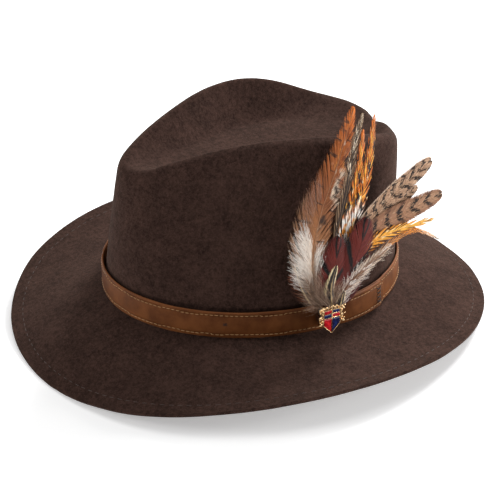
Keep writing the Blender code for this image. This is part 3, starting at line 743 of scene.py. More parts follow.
class Feather:
    """One feather on its layer: a quill along guide points, and a vane of single barbs on both sides."""

    def __init__(self, name, layer, half, start, blunt, guides, seed, puff=0.0):
        self.name, self.layer, self.half, self.start, self.blunt = name, layer, half * MM, start, blunt
        self.guides = [Vector(guide) * MM for guide in guides]
        self.draw = random.Random(seed)
        self.puff = puff * MM
        self.lopsided = 1.0
        self.made = Builder("along", "across", "barb", "quill", "fluff")
        line = [self.centre(i / 60) for i in range(61)]
        self.length = sum((b - a).length for a, b in zip(line, line[1:]))

    def centre(self, u):
        if u > 1:
            end, before = self.centre(1), self.centre(0.98)
            return end + (end - before) / 0.02 * (u - 1)
        spans = len(self.guides) - 1
        place = max(u, 0) * spans
        span = min(int(place), spans - 1)
        return curve_at(self.guides, span, place - span)

    def side_of(self, u):
        along = self.centre(min(u + 0.01, 1.02)) - self.centre(u - 0.01 if u > 0.01 else 0)
        along.normalize()
        return Vector((-along.y, along.x))

    def width(self, u):
        if u <= self.start or u >= 1:
            return 0.0
        local = (u - self.start) / (1 - self.start)
        return self.half * min(1.0, local / 0.28) ** 0.7 * max(0.0, 1 - local ** self.blunt) ** 0.6

    def place(self, u, offset, rise=0.0):
        """offset is to the left of the quill as it grows, rise is out from the layer."""
        flat = self.centre(u) + self.side_of(u) * offset
        hump = max(0.0, 1 - (offset / (self.half * 1.2)) ** 2)
        bulge = self.puff * sin(pi * min(max(u, 0), 1)) ** 1.5 * hump
        return BROOCH @ Vector((flat.x, flat.y, blade_height(flat.x, flat.y, self.layer) + rise + bulge))

    def strip(self, line, widths, across_values, along_values, barb, fluff=0.0, twist=0.0):
        """A thin ribbon of quads along line, as wide as widths, lying in the vane."""
        points = []
        for index, centre in enumerate(line):
            side = run_at(line, index).cross(OUT)
            side = side.normalized() if side.length > 1e-9 else Vector((0, 1, 0))
            side = (side * cos(twist) + OUT * sin(twist)) * widths[index]
            points += [centre - side, centre + side]
        faces = [(2 * i, 2 * i + 1, 2 * i + 3, 2 * i + 2) for i in range(len(line) - 1)]
        self.made.add(points, faces, along=[a for a in along_values for _ in (0, 1)],
                      across=[a for a in across_values for _ in (0, 1)], barb=barb, quill=0.0, fluff=fluff)

    def quill(self, thick=0.5, top=0.97):
        steps = 26
        route = [self.place(top * i / steps, 0.0, 0.18 * MM) for i in range(steps + 1)]
        radii = [thick * MM * (1 - 0.82 * (i / steps) ** 0.8) for i in range(steps + 1)]
        along = [top * i / steps for i in range(steps + 1) for _ in range(6)]
        self.made.tube(route, radii, sides=6, squeeze=0.8, normal=OUT, along=along, across=0.0,
                       barb=0.5, quill=1.0, fluff=0.0)

    def vane(self, spacing=0.42, lean=38.0, gape=3.0, clump=(4.0, 11.0), ragged=0.05, curve=1.22,
             wide=0.62, segments=5, camber=0.35, tip_lean=None, until=0.985, lift=0.12):
        """Barbs from the quill to the vane's outline, parted here and there as real ones are."""
        step = spacing * MM / self.length
        for side in (1, -1):
            u = self.start - 0.02
            left, size, tilt = 0.0, 1.0, 0.0
            while u < until:
                if left <= 0:
                    size = self.draw.uniform(*clump)
                    left = size
                    tilt = self.draw.uniform(-1, 1)
                inside = 1 - 2 * left / size
                left -= spacing
                share = max(0.0, (u - self.start) / (1 - self.start))
                base_lean = lean if tip_lean is None else lean + (tip_lean - lean) * share
                angle = radians(base_lean + gape * inside * abs(inside) + self.draw.uniform(-0.9, 0.9))
                low, high = 0.0, 3.2 * self.half
                for _ in range(12):
                    reach = (low + high) / 2
                    there = u + reach * cos(angle) / self.length
                    room = self.width(there)
                    if side > 0:
                        room *= 1 + (self.lopsided - 1) * min(1.0, max(0.0, (0.85 - there) / 0.35))
                    if room > reach * sin(angle):
                        low = reach
                    else:
                        high = reach
                reach = low * self.draw.uniform(1 - ragged, 1 + ragged * 0.6)
                barb = self.draw.random()
                if reach > 0.35 * MM:
                    line, across, along, widths = [], [], [], []
                    rise = self.draw.uniform(-lift, lift) * MM + tilt * 0.12 * MM
                    for index in range(segments + 1):
                        v = index / segments
                        there = u + reach * cos(angle) * v ** curve / self.length
                        offset = side * reach * sin(angle) * v
                        line.append(self.place(there, offset, (0.1 - camber * v * v) * MM + rise * v))
                        across.append(side * v)
                        along.append(min(there, 1.05))
                        taper = (1.25 - 0.35 * v) * (1 if index < segments else 0.12)
                        widths.append(0.5 * wide * spacing * MM * taper)
                    self.strip(line, widths, across, along, barb)
                u += step * self.draw.uniform(0.85, 1.15)

    def down(self, low, high, count, long, fan=(20.0, 95.0), curl=0.35, tuft=10, sides=(1, -1), fine=0.085,
             rise=(0.0, 2.2), fringe=1.3, bend=0.8, fluff=1.0):
        """Loose downy barbs, each with its own fine fringe."""
        for index in range(count):
            u = self.draw.uniform(low, high)
            side = self.draw.choice(sides)
            angle = radians(self.draw.uniform(*fan))
            reach = self.draw.uniform(*long) * MM
            barb = self.draw.random()
            lift = self.draw.uniform(*rise) * MM
            sway = self.draw.uniform(-curl, curl)
            origin, out_side = self.centre(u), self.side_of(u) * side
            forward = Vector((out_side.y, -out_side.x)) * (1 if side > 0 else -1)
            flat, points = origin.copy(), []
            steps = 7
            for step in range(steps + 1):
                v = step / steps
                turn = angle * (1 - bend * 0.45 * v) + sway * v * v + self.draw.uniform(-0.05, 0.05)
                if step:
                    flat = flat + (out_side * sin(turn) + forward * cos(turn)) * reach / steps
                height = blade_height(flat.x, flat.y, self.layer) + (0.15 * MM + lift * sin(v * 2.2))
                points.append(BROOCH @ Vector((flat.x, flat.y, height)))
            widths = [fine * MM * (1 - 0.8 * step / steps) for step in range(steps + 1)]
            along = [u + 0.02 * step for step in range(steps + 1)]
            across = [side * step / steps for step in range(steps + 1)]
            self.strip(points, widths, across, along, barb, fluff=fluff)
            for k in range(tuft):
                v = self.draw.uniform(0.12, 1.0)
                place = v * steps
                i = min(int(place), steps - 1)
                root = points[i].lerp(points[i + 1], place - i)
                run = (points[i + 1] - points[i]).normalized()
                away = run.cross(OUT) * self.draw.choice((-1, 1))
                hair = (run * self.draw.uniform(0.5, 1.1) + away * self.draw.uniform(0.35, 0.9)
                        + OUT * self.draw.uniform(-0.15, 0.55)).normalized()
                tip = root + hair * self.draw.uniform(0.5, 1.0) * fringe * MM * (1.15 - 0.5 * v)
                middle = root.lerp(tip, 0.5) + OUT * self.draw.uniform(-0.08, 0.12) * MM
                self.strip([root, middle, tip], [0.045 * MM, 0.04 * MM, 0.008 * MM], [side * v] * 3, [u] * 3,
                           self.draw.random(), fluff=fluff, twist=self.draw.uniform(-0.6, 0.6))

    def piece(self, material, slot):
        self.made.piece(self.name, material, "brooch", slot, self.name.replace("plume", "feather"))


MAROON, MAROON_DARK, MAROON_LIGHT = (0.084, 0.008, 0.005), (0.022, 0.003, 0.003), (0.145, 0.016, 0.01)
BLACK, SOOT = (0.006, 0.004, 0.004), (0.02, 0.012, 0.009)
RUST, RUST_LIGHT, TAN_DOWN = (0.27, 0.085, 0.025), (0.48, 0.19, 0.07), (0.5, 0.31, 0.2)
CREAM, WHITE = (0.82, 0.66, 0.5), (0.98, 0.91, 0.84)
ORANGE, AMBER, YELLOW = (0.7, 0.17, 0.01), (0.86, 0.28, 0.012), (0.95, 0.48, 0.06)
BUFF, BUFF_DARK = (0.38, 0.215, 0.125), (0.2, 0.1, 0.055)
BROWN, LACE = (0.105, 0.045, 0.024), (0.86, 0.68, 0.4)
SLOTS = {"spangled": "dark", "tail": "buff", "orange": "orange", "broad": "brown", "hackle": "rust",
         "yellow": "yellow", "wisp": "rust", "tuft": "maroon", "fluffy": "brown", "laced": "dark",
         "maroon": "maroon"}


def laid(kind, size, colour, reach=(-1, 2), **more):
    return {"kind": kind, "size": size, "colour": colour, "reach": reach, **more}


def bars(count, size, colour, **more):
    return laid("bars", size, colour, count=count, **more)


def spots(count, size, colour, squeeze, soft, seed, **more):
    return laid("spots", size, colour, count=count, squeeze=squeeze, soft=soft, seed=seed, **more)


def edge(size, colour, **more):
    return laid("edge", size, colour, **more)


def centre(size, colour, **more):
    return laid("centre", size, colour, **more)


def feather_paints():
    """One material for each pattern of feather in the spray."""
    paints = {}
    paints["spangled"] = feather_material(
        "spangled_black_and_cream", [(0.0, SOOT), (0.45, (0.05, 0.03, 0.022)), (1.0, SOOT)],
        [spots(17, 0.52, (0.86, 0.72, 0.55), 2.6, 0.06, 5.0, reach=(0.7, 2)),
         spots(15, 0.58, (0.6, 0.48, 0.36), 2.4, 0.08, 15.0, reach=(-1, 0.7)),
         edge(0.3, (0.4, 0.24, 0.13), weight=0.55),
         spots(24, 0.6, BUFF_DARK, 3.0, 0.1, 9.0)], 0.3, (0.25, 0.16, 0.09))
    orange_marks = [edge(0.45, ORANGE, weight=0.8, reach=(0.62, 2)),
                    spots(22, 0.55, (0.3, 0.065, 0.008), 2.0, 0.1, 14.0, reach=(0.62, 2), weight=0.7),
                    spots(19, 0.54, YELLOW, 2.4, 0.08, 7.0, reach=(0.5, 0.95)),
                    spots(21, 0.59, (1.0, 0.78, 0.45), 2.6, 0.06, 17.0, reach=(0.5, 0.93)),
                    spots(15, 0.53, SOOT, 1.6, 0.05, 2.0, reach=(0.52, 0.93)),
                    spots(13, 0.47, WHITE, 1.2, 0.08, 4.0, reach=(0.3, 0.67)),
                    spots(13, 0.5, BLACK, 1.1, 0.05, 8.0, reach=(0.25, 0.7))]
    paints["orange"] = feather_material(
        "orange_saddle_hackle", [(0.0, SOOT), (0.42, RUST), (0.62, AMBER), (1.0, ORANGE)], orange_marks, 0.6,
        (0.3, 0.12, 0.03))
    paints["tail"] = feather_material(
        "barred_buff_tail", [(0.0, BROWN), (0.3, BUFF_DARK), (0.55, BUFF), (1.0, (0.46, 0.28, 0.175))],
        [bars(22, 0.38, (0.022, 0.011, 0.007), skew=-0.04, wobble=1.9, soft=0.12),
         spots(60, 0.56, (0.17, 0.085, 0.048), 6.0, 0.1, 6.0),
         spots(48, 0.6, (0.045, 0.022, 0.014), 5.0, 0.1, 2.0),
         spots(52, 0.58, (0.56, 0.38, 0.25), 5.0, 0.1, 12.0),
         edge(0.84, (0.6, 0.42, 0.3), side=1.0, wobble=0.05, soft=0.05)], 0.2, (0.4, 0.23, 0.13))
    paints["broad"] = feather_material(
        "barred_rufous_tail",
        [(0.0, BROWN), (0.35, (0.19, 0.065, 0.03)), (0.6, (0.33, 0.15, 0.08)), (1.0, BUFF)],
        [bars(14, 0.34, (0.02, 0.01, 0.007), skew=-0.04, wobble=1.3, soft=0.12),
         spots(56, 0.6, (0.06, 0.026, 0.014), 6.0, 0.1, 9.0),
         spots(40, 0.57, (0.48, 0.28, 0.16), 6.0, 0.12, 6.0),
         edge(0.55, (0.24, 0.1, 0.05), weight=0.5)], 0.2, (0.35, 0.18, 0.09))
    paints["hackle"] = feather_material(
        "rufous_hackle",
        [(0.0, WHITE), (0.33, WHITE), (0.385, CREAM), (0.43, TAN_DOWN), (0.5, (0.37, 0.155, 0.06)),
         (0.64, RUST), (0.82, (0.44, 0.115, 0.018)), (1.0, ORANGE)],
        [spots(9, 0.53, CREAM, 0.9, 0.09, 3.0, reach=(0.44, 0.88), side=-1.0, weight=0.9),
         spots(12, 0.55, (0.04, 0.02, 0.013), 1.1, 0.08, 11.0, reach=(0.42, 0.88), side=-1.0),
         spots(60, 0.6, SOOT, 0.6, 0.08, 1.0, reach=(0.42, 0.95), weight=0.8),
         edge(0.72, TAN_DOWN, reach=(0.4, 0.62), side=1.0, weight=0.7, soft=0.3),
         centre(0.05, (0.14, 0.04, 0.014), reach=(0.55, 1), weight=0.35),
         spots(22, 0.54, (0.2, 0.045, 0.01), 2.2, 0.12, 15.0, reach=(0.62, 2), weight=0.8),
         spots(17, 0.58, (0.7, 0.27, 0.05), 2.4, 0.12, 19.0, reach=(0.74, 2), weight=0.8),
         spots(30, 0.6, RUST_LIGHT, 3.0, 0.14, 6.0, reach=(0.6, 1.0))], 0.3,
        (0.4, 0.2, 0.1), ((0.8, 0.66, 0.54), WHITE))
    paints["yellow"] = feather_material(
        "golden_hackle",
        [(0.0, RUST), (0.4, ORANGE), (0.55, AMBER), (0.8, YELLOW), (1.0, (0.92, 0.52, 0.1))],
        [edge(0.5, ORANGE, weight=0.4), spots(14, 0.6, (0.16, 0.045, 0.01), 2.5, 0.06, 3.0),
         spots(20, 0.58, (1.0, 0.78, 0.42), 3.2, 0.07, 8.0)], 0.5, (0.5, 0.2, 0.04))
    paints["wisp"] = feather_material(
        "cream_wisp", [(0.0, BROWN), (0.5, (0.42, 0.22, 0.11)), (0.8, AMBER), (1.0, CREAM)],
        [spots(16, 0.56, SOOT, 3.0, 0.1, 3.0)], 0.4, (0.4, 0.22, 0.1))
    paints["maroon"] = feather_material(
        "dyed_maroon", [(0.0, MAROON_DARK), (0.5, MAROON), (0.85, MAROON_LIGHT), (1.0, MAROON)],
        [bars(4.2, 0.22, BLACK, skew=-0.22, wobble=0.25, soft=0.1, reach=(0.54, 1.3)),
         edge(0.86, MAROON_DARK, weight=0.6), spots(14, 0.6, MAROON_LIGHT, 2.0, 0.2, 4.0)],
        0.2, (0.13, 0.025, 0.018))
    paints["tuft"] = feather_material(
        "maroon_tuft", [(0.0, MAROON_DARK), (0.5, (0.1, 0.022, 0.01)), (1.0, (0.19, 0.045, 0.016))],
        [edge(0.6, (0.24, 0.075, 0.03), weight=0.6)], 0.4, (0.12, 0.03, 0.02),
        (MAROON_DARK, (0.15, 0.035, 0.014)))
    paints["fluffy"] = feather_material(
        "brown_and_white", [(0.0, MAROON_DARK), (0.4, (0.15, 0.06, 0.035)), (1.0, BUFF)],
        [spots(10, 0.5, WHITE, 2.4, 0.08, 6.0), edge(0.45, CREAM, weight=0.8)], 0.2,
        (0.45, 0.28, 0.19), ((0.52, 0.37, 0.29), (0.93, 0.82, 0.74)))
    paints["laced"] = feather_material(
        "black_laced_cream", [(0.0, SOOT), (0.5, BLACK), (1.0, SOOT)],
        [edge(0.64, LACE, wobble=0.1, soft=0.06, reach=(0.5, 2)),
         bars(1.0, 0.1, LACE, skew=0.0, reach=(0.9, 2), wobble=0.0),
         centre(0.06, (0.55, 0.38, 0.19), reach=(0.2, 0.8), weight=0.9)], 0.4, (0.6, 0.42, 0.21),
        (SOOT, (0.1, 0.05, 0.03)))
    paints["down"] = feather_material(
        "grey_brown_down", [(0.0, BROWN), (1.0, (0.22, 0.13, 0.09))], [], 0.1, (0.62, 0.48, 0.33),
        ((0.12, 0.066, 0.042), (0.36, 0.235, 0.165)))
    return paints


# name, layer, half width, where the vane starts, bluntness, guide points, paint, puff
PLUMES = (
    ("spangled", 0, 5.2, 0.44, 1.8,
     ((-4.2, 3.8), (-4, 9), (0, 24), (9, 56), (21.4, 88), (30, 111), (41.4, 131)), "spangled", 0),
    ("tail_short", 0, 6.0, 0.4, 5.0,
     ((4.0, 3.8), (5.4, 8), (11, 22), (28, 46), (54, 64), (79, 73.5)), "tail", 0),
    ("orange_middle", 1, 5.8, 0.44, 1.8,
     ((-4.2, 3.8), (-3.6, 9), (1, 24), (10, 48), (20, 68), (30.3, 93), (39, 121.5)), "orange", 0),
    ("tail_long", 1, 7.2, 0.34, 12.0,
     ((4.0, 3.8), (5.4, 8), (11, 26), (19, 46), (34, 60.5), (61, 76), (93, 88.5)), "tail", 0),
    ("orange_right", 2, 6.2, 0.42, 1.8,
     ((-4.2, 3.8), (-3, 9), (3, 24), (14, 46), (27, 72), (38.5, 98), (49.4, 129.7)), "orange", 0),
    ("tail_broad", 2, 8.0, 0.34, 9.0,
     ((4.0, 3.8), (5.4, 8), (12, 24), (26, 46), (46, 56.5), (71.5, 61), (98.8, 64)), "broad", 0),
    ("hackle_left", 3, 15.0, 0.28, 1.15,
     ((-4.0, 3.8), (-5, 8), (-11, 24), (-13, 46), (-5, 74), (9.5, 98), (21.5, 118), (33.6, 137.3)),
     "hackle", 1.5),
    ("yellow", 3, 6.0, 0.38, 2.2,
     ((4.0, 3.8), (5.4, 8), (12, 22), (22, 38), (37, 47), (58, 50), (89.6, 49.3)), "yellow", 0),
    ("wisp", 4, 2.6, 0.45, 2.0,
     ((4.0, 3.8), (5.4, 8), (15, 19), (34, 36), (56, 44.8), (73, 46), (93, 33.4)), "wisp", 0),
    ("maroon_left", 4, 8.5, 0.36, 3.0,
     ((-3.6, 3.8), (-5, 8), (-13, 19), (-22, 30), (-31, 40)), "tuft", 0),
    ("fluffy_right", 8, 7.0, 0.3, 2.0,
     ((4.0, 3.8), (5.0, 9), (8, 19), (17, 28), (31, 36), (49, 44.5)), "fluffy", 1.5),
    ("black_left", 5, 3.6, 0.36, 3.0,
     ((-3.6, 3.8), (-5, 8), (-12, 17), (-19, 28), (-26.3, 45.4)), "laced", 0),
    ("maroon_upper", 6, 14.0, 0.24, 5.0,
     ((2.6, 3.8), (3.4, 8), (8, 18), (15, 34), (24, 50), (32, 66)), "maroon", 3),
    ("maroon_lower", 7, 15.0, 0.24, 4.0,
     ((0.4, 3.8), (0.4, 8), (0, 18), (0.5, 30), (3, 43), (8, 59)), "maroon", 3.0),
    ("black_middle", 9, 3.6, 0.52, 2.6,
     ((-1.0, 3.8), (-1.6, 8), (-4, 18), (-3, 28), (3.6, 41)), "laced", 5.5),
    ("black_right", 9, 3.0, 0.44, 2.6,
     ((3.6, 3.8), (4.0, 8), (4.8, 13), (6.8, 18), (10.6, 23)), "laced", 3),
)


def build_spray():
    paints = feather_paints()
    made, paint_of = {}, {}
    for seed, (name, layer, half, start, blunt, guides, paint, puff) in enumerate(PLUMES):
        made[name] = Feather("plume_" + name, layer, half, start, blunt, guides, 100 + seed, puff)
        paint_of[name] = paint

    def dress(names, quill, **vane):
        for name in names.split():
            made[name].quill(*quill)
            made[name].vane(**vane)

    dress("spangled orange_middle orange_right yellow", (0.42,), spacing=0.4, lean=30, gape=7,
          clump=(2.5, 8), ragged=0.1, curve=1.3, wide=0.85, tip_lean=19, lift=0.3)
    for name in ("orange_middle", "orange_right"):
        made[name].down(0.28, 0.55, 60, (5, 11), fan=(25, 60), fine=0.07, rise=(0.0, 1.0))
    dress("tail_short tail_long", (0.62,), spacing=0.3, lean=52, gape=0.3, clump=(25, 60), ragged=0.012,
          curve=1.2, wide=1.7, tip_lean=46, lift=0.02)
    dress("tail_broad", (0.6,), spacing=0.3, lean=50, gape=0.5, clump=(14, 30), ragged=0.02, curve=1.2,
          wide=1.7, tip_lean=42, lift=0.03)
    hackle = made["hackle_left"]
    hackle.lopsided = 1.5
    dress("hackle_left", (0.55,), spacing=0.34, lean=52, gape=3.5, clump=(3, 9), ragged=0.12, curve=1.35,
          wide=1.0, tip_lean=15, lift=0.3, camber=0.9)
    hackle.vane(spacing=0.5, lean=54, gape=8, clump=(2, 6), ragged=0.22, curve=1.3, wide=0.42, tip_lean=18,
                lift=1.3, until=0.9)
    hackle.down(0.27, 0.44, 300, (9, 16), fan=(18, 58), fine=0.15, rise=(0.4, 4.2), tuft=11, fringe=1.5)
    hackle.down(0.29, 0.48, 380, (14, 23), fan=(34, 76), fine=0.16, rise=(0.8, 4.6), tuft=13, sides=(1,),
                fringe=1.7)
    hackle.down(0.4, 0.62, 190, (14, 22), fan=(34, 66), fine=0.1, rise=(0.3, 2.4), tuft=5, sides=(1,),
                fringe=1.0, fluff=0.15)
    dress("wisp", (0.4,), spacing=0.6, lean=24, gape=10, clump=(1.5, 5), ragged=0.35, curve=1.3, wide=0.4,
          tip_lean=14, lift=0.5)
    dress("maroon_left", (0.4, 0.8), spacing=0.5, lean=34, gape=10, clump=(1.5, 5), ragged=0.25, wide=0.45,
          tip_lean=22, lift=0.6)
    made["maroon_left"].down(0.3, 0.85, 70, (6, 12), fan=(15, 60), rise=(0.2, 1.8), fringe=1.1)
    fluffy = made["fluffy_right"]
    dress("fluffy_right", (0.4,), spacing=0.45, lean=34, gape=9, clump=(1.5, 5), ragged=0.22, wide=0.45,
          tip_lean=24, lift=0.5)
    fluffy.down(0.22, 0.66, 230, (6, 12), fan=(25, 62), rise=(0.2, 2.2), fringe=1.2, fine=0.12)
    fluffy.down(0.6, 0.92, 110, (5, 10), fan=(22, 50), rise=(0.2, 1.6), fringe=0.9, fluff=0.25)
    made["maroon_upper"].lopsided = 1.35
    for name in ("maroon_upper", "maroon_lower"):
        dress(name, (0.5, 0.9), spacing=0.34, lean=50, gape=1.6, clump=(5, 14), ragged=0.05, curve=1.3,
              wide=1.0, tip_lean=36, lift=0.2, camber=1.8)
        made[name].vane(spacing=0.9, lean=50, gape=5, clump=(3, 8), ragged=0.1, curve=1.3, wide=0.35,
                        tip_lean=36, lift=0.6, camber=1.2)
    for name in ("black_left", "black_middle", "black_right"):
        made[name].quill(0.36)
        made[name].half *= 1.25
        made[name].vane(spacing=0.32, lean=44, gape=2, clump=(3, 8), ragged=0.05, wide=0.95,
                        tip_lean=34, lift=0.1)
    for name, paint in paint_of.items():
        made[name].piece(paints[paint], SLOTS[paint] + "_feather")

    tuft = Feather("down_at_the_quills", 9, 10.5, 0.0, 3.0, ((-8, 13), (-13, 19), (-17, 27), (-19, 35)), 140)
    tuft.down(0.0, 0.85, 360, (8, 16), fan=(0, 66), rise=(0.0, 6.5), tuft=11, fringe=1.5, curl=0.5)
    base = Feather("base_down", 9, 9.0, 0.0, 3.0, ((-1, 10), (-2, 14), (-1, 19), (1, 24)), 141)
    base.made = tuft.made
    base.down(0.0, 0.8, 230, (8, 15), fan=(0, 64), rise=(0.8, 6.0), tuft=11, fringe=1.4, curl=0.5)
    shafts = random.Random(7)
    for angle in (38, 24, 12, -2, -16, -30):
        lean = radians(angle)
        reach = shafts.uniform(17, 25)
        line = []
        for step in range(9):
            v = step / 8
            p = -2 - sin(lean) * reach * v - 1.5 * v * v * sin(lean * 2)
            q = 10 + cos(lean) * reach * v
            line.append(on_brooch(p, q, blade_height(p * MM, q * MM, 9) + (1.2 + 2.2 * sin(v * 2.4)) * MM))
        radii = [0.17 * MM * (1 - 0.8 * i / 8) for i in range(9)]
        tuft.made.tube(line, radii, sides=5, along=0.5, across=0.0, barb=0.6, quill=1.0, fluff=0.0)
    tuft.made.piece("down_at_the_quills", paints["down"], "brooch", "down", "down_tuft")


# ---- badge, pin and clutch

CREST_BACK = 0.01
CREST_P, CREST_Q = -1.2, 3.0
BADGE_SCALE = 1.1
RIGHT_EDGE = ((2.2, 9.6), (4.2, 9.4), (6.3, 9.9), (8.2, 8.8), (9.5, 6.0), (8.2, 3.4), (9.4, 0.6), (8.6, -2.8),
              (6.6, -4.0), (5.9, -5.0), (3.0, -7.7), (0.0, -10.3))
SHIELD_RIGHT = ((5.9, 6.4), (5.9, 1.4), (5.9, -3.9), (3.0, -6.8), (0.0, -9.6))


def on_badge(x, y, rise):
    """A badge point: x and y in millimetres from its middle, rise in millimetres from its back."""
    return on_brooch(CREST_P + x * BADGE_SCALE, CREST_Q + y * BADGE_SCALE, CREST_BACK + rise * MM)


def smooth_ring(corners, fine=5):
    """A closed curve through corners, in millimetres."""
    corners = [Vector(corner) for corner in corners]
    return [curve_at(corners, span, step / fine, True)
            for span in range(len(corners)) for step in range(fine)]


def domed(name, outline, base, crown, material, node, wall=0.4):
    """A cushion of enamel: steep short sides and a gently crowned face."""
    middle = sum((Vector(p) for p in outline), Vector((0, 0))) / len(outline)
    rings = [(1.0, base - wall), (1.0, base + crown * 0.1), (0.93, base + crown * 0.55),
             (0.78, base + crown * 0.82), (0.5, base + crown * 0.97), (0.22, base + crown)]
    points = []
    for scale, height in rings:
        for corner in outline:
            spot = middle.lerp(Vector(corner), scale)
            points.append(on_badge(spot.x, spot.y, height))
    points += [on_badge(middle.x, middle.y, base + crown), on_badge(middle.x, middle.y, base - wall)]
    new_piece(name, points, dome(len(rings), len(outline)), material, "brooch", [node])


def dense(outline, fine=4):
    """The outline with straight sides cut into short steps and its corners kept."""
    ring = []
    for index, corner in enumerate(outline):
        after = Vector(outline[(index + 1) % len(outline)])
        ring += [Vector(corner).lerp(after, step / fine) for step in range(fine)]
    return ring


def build_badge():
    gold = metal_material("badge_gold", (0.95, 0.66, 0.36), (0.16, 0.065, 0.022), 0.16)
    corners = [(0.0, 11.0)] + list(RIGHT_EDGE) + [(-x, y) for x, y in reversed(RIGHT_EDGE[:-1])]
    outline = smooth_ring(corners)
    made = Builder()
    rings = [(0.88, 0.0), (0.92, 0.25), (0.92, 0.7), (0.89, 0.95)]
    rings += [(scale, 1.05) for scale in (0.84, 0.7, 0.5, 0.3)]
    points = [on_badge(p.x * scale, p.y * scale, height) for scale, height in rings for p in outline]
    points += [on_badge(0, 0, 1.05), on_badge(0, 0, 0.0)]
    made.add(points, dome(len(rings), len(outline), flip=True))

    def bar(line, radius, lift=1.45, squeeze=0.8):
        route = [on_badge(x, y, lift) for x, y in line]
        made.tube(route, [radius * MM] * len(route), sides=8, squeeze=squeeze, normal=OUT)

    shield = list(SHIELD_RIGHT) + [(-x, y) for x, y in reversed(SHIELD_RIGHT[:-1])]
    rim = dense([(0, 6.5)] + shield)
    bar(rim + rim[:1], 0.3, 1.75)
    bar([(-5.5, 0.9), (0, 0.9), (5.5, 0.9)], 0.3, 1.75)
    bar([(0, 6.3), (0, 0), (0, -9.0)], 0.3, 1.75)
    bar([(-5.4, 3.7), (0, 3.7), (5.4, 3.7)], 0.22, 1.7)
    draw = random.Random(3)
    for side in (-1, 1):
        for level, turn in ((4.9, 1), (-0.4, -1)):
            scroll = []
            for step in range(17):
                angle = step / 16 * 1.55 * pi
                reach = 2.1 - 1.45 * step / 16
                scroll.append((side * (7.1 + reach * cos(angle) * 0.75), level + turn * reach * sin(angle)))
            route = [on_badge(x, y, 1.7) for x, y in scroll]
            made.tube(route, [(0.46 - 0.016 * i) * MM for i in range(17)], sides=8, normal=OUT)
            made.ball(on_badge(side * 7.0, level, 1.6), 0.55 * MM, OUT)
        for index in range(6):
            x = 6.6 + draw.uniform(-0.05, 0.05)
            made.ball(on_badge(side * x, 7.6 - index * 2.0, 1.6), 0.42 * MM, OUT)
        for x, y, size in ((8.7, 7.7, 0.95), (9.0, 2.2, 0.7), (8.3, -2.9, 1.0)):
            made.ball(on_badge(side * x, y, 1.5), size * MM, OUT)
    for x, size in ((-4.9, 0.75), (-2.5, 0.85), (0, 1.05), (2.5, 0.85), (4.9, 0.75)):
        made.ball(on_badge(x, 8.9 - 0.02 * x * x, 1.5), size * MM, OUT)
    for x in (-3.7, -1.25, 1.25, 3.7):
        leaf = [(x, 7.2), (x * 1.02, 8.2), (x * 1.05, 9.3)]
        route = [on_badge(a, b, 1.6) for a, b in leaf]
        made.tube(route, [0.55 * MM, 0.45 * MM, 0.12 * MM], sides=6, normal=OUT)
    made.piece("badge_gilt_plate", gold, "brooch", "gold", "crest_plate")

    red = enamel_material("red_enamel", (0.42, 0.004, 0.012), (0.8, 0.02, 0.03))
    blue = enamel_material("blue_enamel", (0.005, 0.01, 0.06), (0.012, 0.03, 0.15))
    low_right = [(0.3, 0.6), (5.6, 0.6), (5.6, -3.75), (2.9, -6.4), (0.3, -8.9)]
    low_left = [(-x, y) for x, y in low_right]
    domed("enamel_low_left", dense(low_left)[::-1], 1.45, 0.34, red, "enamel_red")
    domed("enamel_low_right", dense(low_right), 1.45, 0.34, blue, "enamel_blue")
    quarters = (("enamel_top_left", -5.55, 3.95, red, "red_enamel"),
                ("enamel_mid_left", -5.55, 1.15, blue, "blue_enamel"),
                ("enamel_top_right", 0.35, 3.95, blue, "blue_enamel"),
                ("enamel_mid_right", 0.35, 1.15, red, "red_enamel"))
    for name, x, y, material, slot in quarters:
        inner = [(x, y), (x + 5.2, y), (x + 5.2, y + 2.3), (x, y + 2.3)]
        domed(name, dense(inner), 1.42, 0.26, material, "enamel_chief")


def build_pin():
    steel = metal_material("pin_steel", (0.62, 0.6, 0.56), (0.25, 0.23, 0.21), 0.24)
    soft_copy("pin_clutch", "pin_clutch_turned", steel, "clutch", 1, radians(35), 0.6)
    NODES["pin_post"].data.materials.clear()
    NODES["pin_post"].data.materials.append(steel)
    soft_copy("quill_ferrule", "quill_ferrule_crimped", steel, "brooch", 1, radians(35), 0.8)
    leather = leather_material("backing_leather", (0.05, 0.02, 0.01), (0.12, 0.05, 0.025), (0.2, 0.1, 0.05))
    soft_copy("spray_backing", "spray_backing_disc", leather, "brooch", 1, radians(40), 0.8)


# ---- dark stitching

def build_end_stitches(surface):
    """A column of small crossed stitches near the strap's end, and the tack at the wearer's left front."""
    made = Builder()

    def stitch(start, end, radius):
        line = []
        for step in range(7):
            t = step / 6
            found, normal = onto(surface, start.lerp(end, t))
            line.append(found + normal * radius * (1.4 * sin(pi * t) - 0.5))
        made.tube(line, radius, sides=6)

    for row in range(4):
        height = 0.24 + row * 0.165
        for lean in (-1, 1):
            start = strap_point(OUTER_END - 5.2, height - 0.06 * lean, -0.3 * MM)
            end = strap_point(OUTER_END - 2.2, height + 0.06 * lean, -0.3 * MM)
            stitch(start, end, 0.33 * MM)
    thread = thread_material("dark_waxed_thread", (0.01, 0.006, 0.005), (0.03, 0.018, 0.013))
    made.piece("band_end_cross_stitches", thread, "hat", "dark_thread", "band_end_stitches")
    made = Builder()
    tack = (((54.6, 0.52), (56.3, 0.5)), ((54.7, 0.57), (56.2, 0.56)), ((55.0, 0.5), (55.9, 0.6)))
    for first, second in tack:
        stitch(strap_point(*first, -0.3 * MM), strap_point(*second, -0.3 * MM), 0.24 * MM)
    made.piece("band_side_tack", thread, "hat", "dark_thread", "band_tack")


# ---- everything in place

